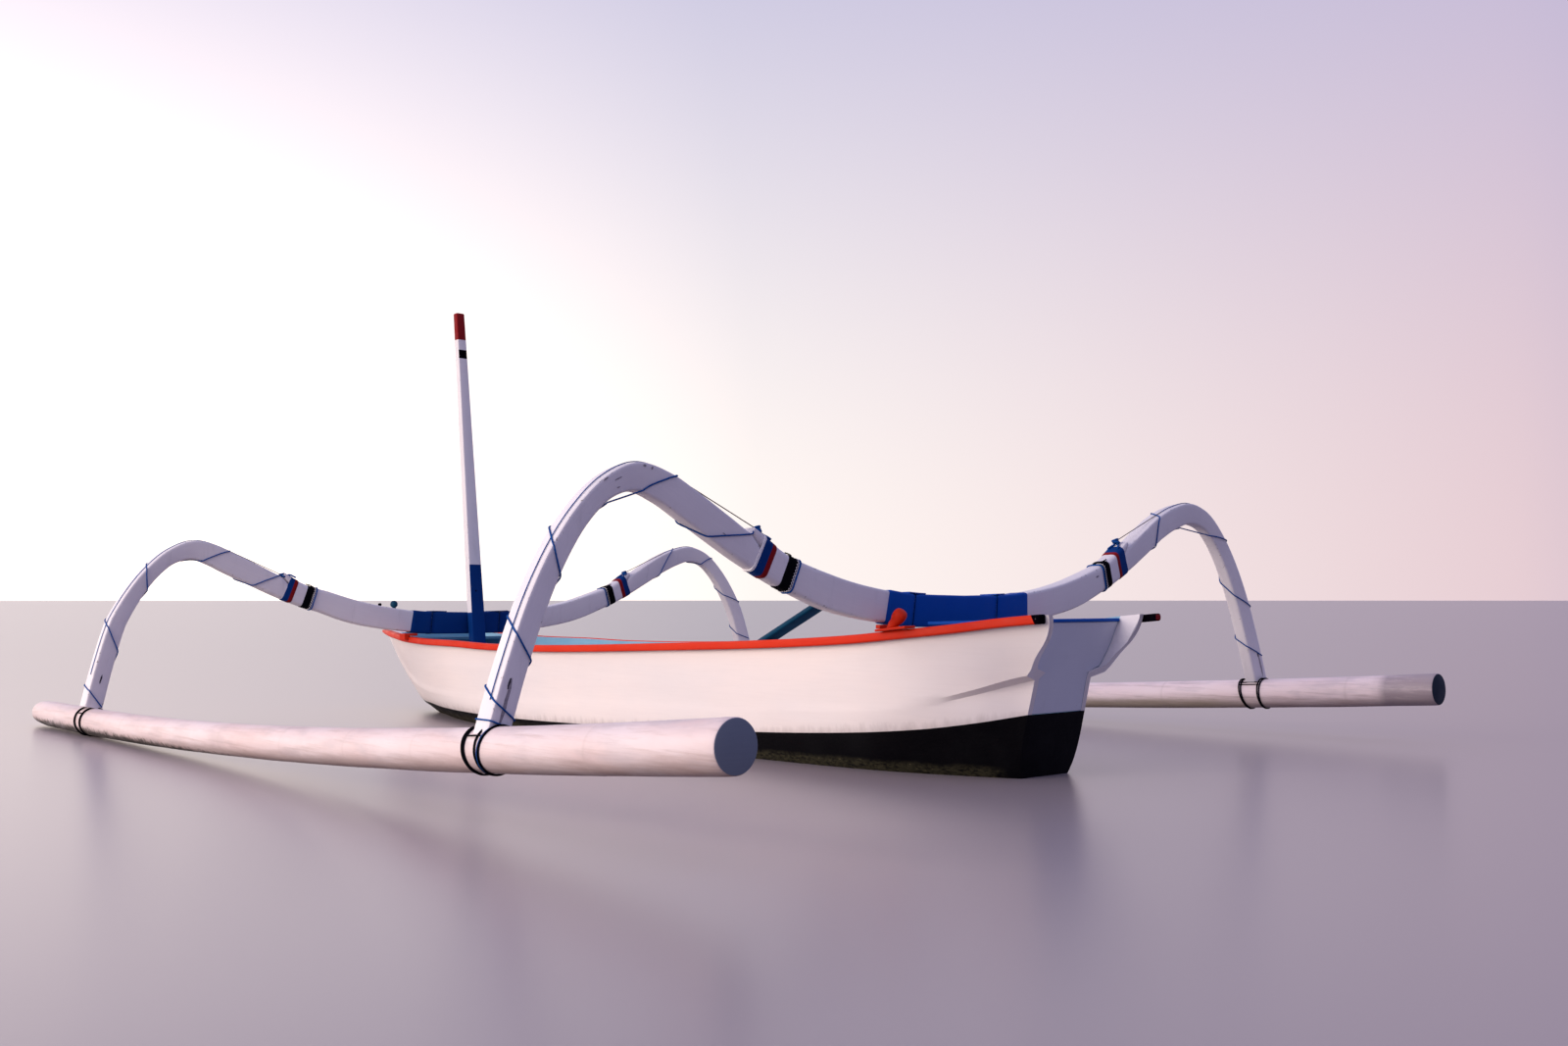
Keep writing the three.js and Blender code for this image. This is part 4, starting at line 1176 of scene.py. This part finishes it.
for key, (first_turn, inner_stops, outer_stops) in TURNS.items():
    end, side_name, side = parts_of(key)
    _, lap_out, black_in, black_out, _, _, blue_out = LAPS[key]
    foot = abs(float_at(FRAMES[end][0], side_name)[0]) - 70
    beyond, knot_across, knot_up = KNOTS[key]
    knot_y = side * (blue_out + beyond)
    inner = [(blue_out + beyond, -0.45 if side > 0 else 3.55)]
    inner += [(y, first_turn + side * k) for k, y in enumerate(inner_stops)]
    outer = [(y, inner[-1][1] + side * k) for k, y in enumerate(outer_stops)]
    path = [round_arm([(side * y, t) for y, t in part], end, ROPE) for part in (inner, outer)]
    rope(f"rope_turns_{key}", tube(np.vstack(path), ROPE, 8, 3, 11))

    # Taut line near the aft edge of the upper face: clear of the wood up to the first point it touches
    along = [on_spine(side * y, end, -14, spine_at(side * y, end)[2] / 2 + ROPE + 0.3)
             for y in steps(lap_out + 40, foot + 40, 90)]
    knot = on_spine(knot_y, end, knot_across, wood_top(knot_y, end) + knot_up)
    first = int(np.argmax([(p[2] - knot[2]) / abs(p[1] - knot[1]) for p in along]))
    taut = through([knot, along[first], along[first + 1]], 14)
    rope(f"rope_taut_{key}", tube(taut, TAUT, 8, 3, 9), BROWN_ROPE)
    rope(f"rope_along_{key}", tube(through(along[first:], 14), TAUT, 8, 3, 9))

    # Knot on the beam's end, with its two tails down to the blue band
    coils = []
    for turn in range(3):
        loop = [knot + np.array([(14 - turn) * math.cos(a) + turn * 3 - 3, (12 + turn) * math.sin(a) * 0.9,
                                 -6 + turn * 5.6 + 4 * math.sin(a + turn * 2.1)]) for a in angles(22)]
        coils.append(tube(loop, 5.0, 8, 3, 14, True))
    for shift in (-5, 5):
        tail = [knot + np.array([shift, 0, -4])]
        for y, fan in ((blue_out + 8, 2), (blue_out - 8, 4), (blue_out - 24, 5)):
            tail.append(on_spine(side * y, end, knot_across + shift * fan, wood_top(side * y, end) + 6))
        coils.append(tube(through(tail, 8), 4.8, 8, 3, 14))
    rope(f"knot_{key}", joined(coils))

    # Twisted tie over the black band
    tie = [on_spine(side * y, end, shift, wood_top(side * y, end) + 4.5 + lift)
           for y, shift, lift in ((black_out + 10, -22, 1), (black_out - 14, -24, 2),
                                  (black_in + 14, -8, 2), (black_in - 6, 6, 1))]
    rope(f"tie_{key}", tube(through(tie, 6), 2.8, 8, 2, 10), RUBBER)

# Marks on the aft faces: worn grey patches, and near-black patches for holes whose darkness is painted
# shade; each a thin skin on the wood
MARK_FACES = (0.35, 1.2)
MARKS = (
    # key, y, place on the face from its lower edge to its upper one, half length, half height, material
    ("aft_port", 1732, 0.90, 9, 2.5, GREY_GRAIN),
    ("aft_port", 1692, 0.62, 13, 2.5, GREY_GRAIN),
    ("aft_port", 1700, 0.29, 6, 2, GREY_GRAIN),
    ("aft_port", 1595, 0.88, 5, 4, GREY_GRAIN),
    ("aft_port", 1569, 0.86, 3, 5, GREY_GRAIN),
    ("aft_port", 1240, 0.40, 10, 1.6, GREY_GRAIN),
    ("aft_port", 2101, 0.64, 6, 4.5, HOLE_SHADE),
    ("aft_port", 2120, 0.57, 24, 7, GREY_GRAIN),
    ("fore_port", 2063, 0.51, 5, 4, HOLE_SHADE),
    ("aft_starboard", 900, 0.70, 10, 4, GREY_GRAIN),
    ("aft_starboard", 2196, 0.63, 5, 3, HOLE_SHADE),
    ("aft_starboard", 2214, 0.68, 17, 5, GREY_GRAIN),
)
for number, (key, y, place, half_length, half_height, material) in enumerate(MARKS):
    end, _, side = parts_of(key)
    skins = []
    for off in MARK_FACES:
        ring = []
        for a in angles(22):
            ragged = 1 + 0.4 * noise.noise(Vector((3 * math.cos(a), 3 * math.sin(a), number * 5.3)))
            at = side * (y + half_length * ragged * math.cos(a))
            depth, top = spine_at(at, end)[2], wood_top(at, end)
            up = blend(-depth / 2, top, place) + half_height * ragged * math.sin(a)
            ring.append(on_spine(at, end, -half_at(up, depth, top) - off, up))
        skins.append(ring)
    piece(f"mark_{number}_{key}", loft(skins), material, sharp=60)


def rail_top(x):
    return station(x)[SHEER_Z] + 4


# Seats on the rails: aft a thin plate along the rail with a chock, fore a block with a lip
PLATE, SEAT_AFT, SEAT_FORE = 10, -2045, -1889
CHOCK = (-1919, -1895)
KNOB_X, KNOB_OUT, KNOB_LEAN = -1952, 36, math.radians(45)
KNOB_PROFILES = {
    # distances along the post and radii; to starboard only a stub shows
    "port": ((0, 20), (14, 20), (26, 19.5), (35, 20.5), (42, 23.5), (50, 26), (58, 27), (68, 27), (76, 25.5),
             (82, 22), (86, 15), (87, 0.4)),
    "starboard": ((0, 20), (3, 20), (6, 18.5), (7.5, 15), (8, 0.4)),
}
for side_name, side in SIDES:
    sheer = station(-BEAM_X)[SHEER_Y]

    def seat_top(y, end):
        point, _, depth = spine_at(y, end)
        return point[1] - depth / 2 - 6.5

    rings = []
    for x in steps(SEAT_AFT, SEAT_FORE, 12):
        top = rail_top(x)
        outline = [(2, top + 0.6), (62, top + 0.6), (62, top + 0.3 + PLATE), (2, top + 0.3 + PLATE)]
        rings.append([(x, side * (sheer + y), z) for y, z in outline])
    chock = block((CHOCK[0], side * (sheer + 2), rail_top(CHOCK[0]) + PLATE + 0.4),
                  (CHOCK[1], side * (sheer + 62), seat_top(side * (sheer + 2), "aft")))
    piece(f"rail_seat_aft_{side_name}", joined([loft(rings), chock]), ORANGE,
          [f"beam_seat_aft_{side_name}"], bevel=3)

    sheer_fore = station(BEAM_X)[SHEER_Y]
    low = max(rail_top(BEAM_X - 31), rail_top(BEAM_X + 31)) + 0.6
    top = seat_top(side * (sheer_fore - 8), "fore")
    outline = [(-18, low), (37, low), (37, low - 22), (66, low - 22), (66, top), (-18, top)]
    body = prism([(BEAM_X - 31, side * (sheer_fore + p), z) for p, z in outline], (62, 0, 0))
    piece(f"rail_seat_fore_{side_name}", body, ORANGE,
          [f"beam_seat_fore_{side_name}"], bevel=4)

    # Belaying knob: a post raked aft with a thick rounded head
    along = np.array([-math.sin(KNOB_LEAN), 0, math.cos(KNOB_LEAN)])
    across = np.array([math.cos(KNOB_LEAN), 0, math.sin(KNOB_LEAN)])
    foot = np.array([KNOB_X, side * (sheer + KNOB_OUT), rail_top(KNOB_X) + PLATE])
    rings = []
    for d, r in KNOB_PROFILES[side_name]:
        ring = []
        for b in angles(32):
            p = foot + along * d + r * (math.cos(b) * across + math.sin(b) * np.array([0, 1, 0]))
            low = rail_top(p[0]) + PLATE + 0.6
            if d == 0:
                p[2] = low
            elif d < 30:
                p = p + along * max((low - p[2]) / along[2], 0)
            ring.append(p)
        rings.append(ring)
    piece(f"belaying_knob_{side_name}", loft(rings), ORANGE, [f"knob_{side_name}"], sharp=45)

# Beak and finial
sheer_line = [(x, station(x)[SHEER_Z] + 0.6) for x in steps(2570, 2836, 4)]
front = through([(2850, 566), (2880, 600), (2930, 650), (3016, 700)], 20)
top = through([(3010, 712), (2930, 690), (2860, 684), (2780, 690), (2690, 655), (2620, 600),
               (2570, 572)], 16)
outline = [*sheer_line, *front, *top]
piece("prow_beak", prism([(x, -16, z) for x, z in outline], (0, 32, 0)), HULL,
      ["beak"], bevel=6)
profile = [(-29, 11), (-22, 11), (-20.5, 11.5)]
profile += [(23 * math.sin(math.radians(d)), 23 * math.cos(math.radians(d))) for d in range(-58, 90, 8)]
profile.append((23, 0.3))
piece("finial_ball", turned(2780, 719.5, profile, 28), TEAL, ["bow_finial"], sharp=45)
peg = ((0, 7), (24, 7), (27, 11), (35, 12), (41, 8), (43, 0.4))
piece("beak_peg", turned(2967, 690, peg, 14), RUBBER, sharp=50)
tip = ((0, 9), (12, 8), (20, 5.5), (26, 2.5), (28, 0.4))
piece("beak_tip", turned(3003, 700, tip, 14, 0.25), HULL, sharp=50)

# Steering oar
OAR = (
    # x, half width, half thickness
    (-1400, 26, 9), (-1392, 32, 9.6), (-1375, 38, 10.2), (-1340, 43, 11), (-1080, 43.5, 11), (-800, 43, 11),
    (-745, 36, 12.5), (-700, 27, 14.6), (-660, 20, 16), (-300, 18.6, 16), (100, 17.8, 16), (520, 17, 16),
)
OAR_SLOPE = -0.42
rings = []
for x, wide, thick in OAR:
    z = 458.4 + OAR_SLOPE * (x + 860)
    outline, _ = rounded([(-wide, -thick), (wide, -thick), (wide, thick), (-wide, thick)], thick * 0.92, 5)
    tilt = np.array([-OAR_SLOPE, 1]) / math.hypot(OAR_SLOPE, 1)
    rings.append([(x + tilt[0] * p[1], 110 + p[0], z + tilt[1] * p[1]) for p in outline])
piece("oar", loft(rings), TEAL, ["steering_oar"], sharp=50)

# Mast and its step
rings = []
for x in steps(1735, 1850, 4):
    rows = np.vstack(inner_rows(x, 24.3))
    rows = spread(cut_at(rows, 60)[0], 12)
    rows = with_x(x, np.minimum(rows, (160, 999)))
    rings.append(np.vstack([rows[::-1], rows[1:] * (1, -1, 1)]))
piece("mast_chock", loft(rings), WOOD, ["mast_step"], bevel=3)
MAST_TOP, MAST_LOW = 2408, 640
MAST_LEVELS = (60.3, 645, 924, 1300, 1700, 2138, 2189, 2193, 2249, MAST_TOP - 6, MAST_TOP - 2, MAST_TOP)
RED_LEVEL, BLACK_LEVEL, FOOT_LEVEL = 8, 5, 1


def mast_at(z):
    """The mast's centre at a height: it leans forward and to port."""
    return 1815 + (z - 660) * 0.026, -12 + (z - MAST_LOW) * 0.044


rings, edges = [], []
for z in MAST_LEVELS:
    t = clamp01((z - MAST_LOW) / (MAST_TOP - MAST_LOW))
    inset = {MAST_TOP: 5, MAST_TOP - 2: 1.8}.get(z, 0)
    half_x, half_y = blend(25, 20, t) - inset, blend(43, 26, t) - inset
    x, y = mast_at(z)
    corners = [(-half_x, -half_y), (half_x, -half_y), (half_x, half_y), (-half_x, half_y)]
    outline, edge = rounded(corners, 6, 4)
    rings.append([(x + p[0], y + p[1], z) for p in outline])
    edges += edge
MAST_WHITE, MAST_RED, MAST_BLACK, MAST_BLUE = range(4)


def mast_paint(i, j):
    """Red head, a black band and a blue foot on the aft face, and blue below the beam all round."""
    if i >= RED_LEVEL:
        return MAST_RED
    if i < FOOT_LEVEL:
        return MAST_BLUE
    aft = j >= 17 or j < 2
    if aft and i == BLACK_LEVEL:
        return MAST_BLACK
    return MAST_BLUE if aft and i == FOOT_LEVEL else MAST_WHITE


piece("mast_pole", loft(rings), [WHITE, RED, BLACK, NAVY], ["mast"], pick=mast_paint,
      masks={"edge": edges}, sharp=35)
BOLT_Z = 771
x, y = mast_at(BOLT_Z)
bolt = [[(x - 24.2 - d, y + 6 + r * math.cos(b), BOLT_Z + r * math.sin(b)) for b in angles(14)]
        for d, r in ((0, 5), (1.6, 5), (2.6, 3.5), (3, 0.4))]
piece("mast_bolt", loft(bolt), RUBBER, sharp=50)

# Floor at the waterline, sky and lights


def plain(name, colour, roughness):
    s = Shader(name)
    soft = s.noise(s.stretch(s.place, (0.6, 1.4, 1.0)), 0.35, 3)
    tint = tuple(c * 0.985 for c in colour[:3]) + (1.0,)
    return s.done(s.mix(soft, colour, tint), roughness)


# The floor stops inside the hull's walls, so that it doesn't fill the hollow
HOLE_AFT, HOLE_FORE, SPAN = -2255, 1915, 2500


def hole_half(x):
    """Half the width of the hollow at the water, out to the middle of the wall."""
    return inner_half(x, x * math.tan(TRIM), WALL) + WALL * 0.5


hole_xs = [blend(HOLE_AFT, HOLE_FORE, 0.5 - 0.5 * math.cos(math.pi * k / 40)) for k in range(41)]
hole = [(x, hole_half(x)) for x in hole_xs] + [(x, -hole_half(x)) for x in hole_xs[::-1]]
hole = [(x / math.cos(TRIM) * 0.001, y * 0.001) for x, y in hole]
far = [(x, y) for x, y in (np.array(p) / np.linalg.norm(p) * SPAN for p in hole)]
rim = len(hole)
floor_mesh = bpy.data.meshes.new("floor")
floor_mesh.from_pydata([(x, y, 0) for x, y in [*hole, *far]], [],
                       [(k, (k + 1) % rim, rim + (k + 1) % rim, rim + k) for k in range(rim)])
floor_mesh.materials.append(plain("floor", rgb(0.32, 0.275, 0.29), 0.28))
floor = bpy.data.objects.new("floor", floor_mesh)
bpy.context.scene.collection.objects.link(floor)

# Sky: a bright low glow round BRIGHT_SIDE, dim lavender behind and above
BRIGHT_SIDE = (0.906, 0.42, 0.0)
GLOW = (
    # place on the ramp from the far side, 0, to the bright side, 1, and the colour there
    (0.0, (0.14, 0.15, 0.31)),
    (0.325, (0.28, 0.27, 0.50)),
    (0.47, (0.80, 0.62, 0.66)),
    (0.70, (1.03, 0.95, 0.91)),
    (1.0, (2.4, 2.05, 1.8)),
)
ZENITH = (0.44, 0.44, 0.70)
ZENITH_HEIGHT, ZENITH_SHARE = 0.6, 0.95    # how high it is strongest, and its share there
SKY_STRENGTH = 2.4
world = bpy.data.worlds.new("sky")
world.use_nodes = True
bpy.context.scene.world = world
sky = Nodes(world.node_tree)
where = sky.node("TexCoord").outputs["Generated"]
toward = sky.node("VectorMath", (0, where), (1, BRIGHT_SIDE), operation="DOT_PRODUCT").outputs["Value"]
unit = sky.node("MapRange", ("Value", toward), ("From Min", -1)).outputs[0]
ramp = sky.node("ValToRGB", (0, unit))
while len(ramp.color_ramp.elements) < len(GLOW):
    ramp.color_ramp.elements.new(0.5)
for stop, (place, colour) in zip(ramp.color_ramp.elements, GLOW):
    stop.position = place
    stop.color = rgb(*(c / SKY_STRENGTH for c in colour))
height = sky.node("SeparateXYZ", (0, where)).outputs["Z"]
rise = sky.node("MapRange", ("Value", height), ("From Max", ZENITH_HEIGHT), ("To Max", ZENITH_SHARE),
                interpolation_type="SMOOTHSTEP").outputs[0]
zenith = rgb(*(c / SKY_STRENGTH for c in ZENITH))
mixed = sky.node("Mix", (0, rise), (6, ramp.outputs["Color"]), (7, zenith), data_type="RGBA").outputs[2]
back = sky.node("Background", ("Color", mixed), ("Strength", SKY_STRENGTH))
sky.node("OutputWorld", (0, back.outputs[0]))


def area_light(name, place, aim, size, power, colour):
    data = bpy.data.lights.new(name, "AREA")
    data.shape = "DISK"
    data.size = size
    data.energy = power
    data.color = colour
    lamp = bpy.data.objects.new(name, data)
    lamp.location = place
    lamp.rotation_mode = "QUATERNION"
    lamp.rotation_quaternion = (Vector(aim) - Vector(place)).to_track_quat("-Z", "Y")
    bpy.context.scene.collection.objects.link(lamp)


area_light("key", (1.0, 12.2, 3.6), (-0.8, 0, 0.3), 8.0, 1200, (1.0, 0.88, 0.80))
bpy.context.scene.view_settings.view_transform = "Standard"
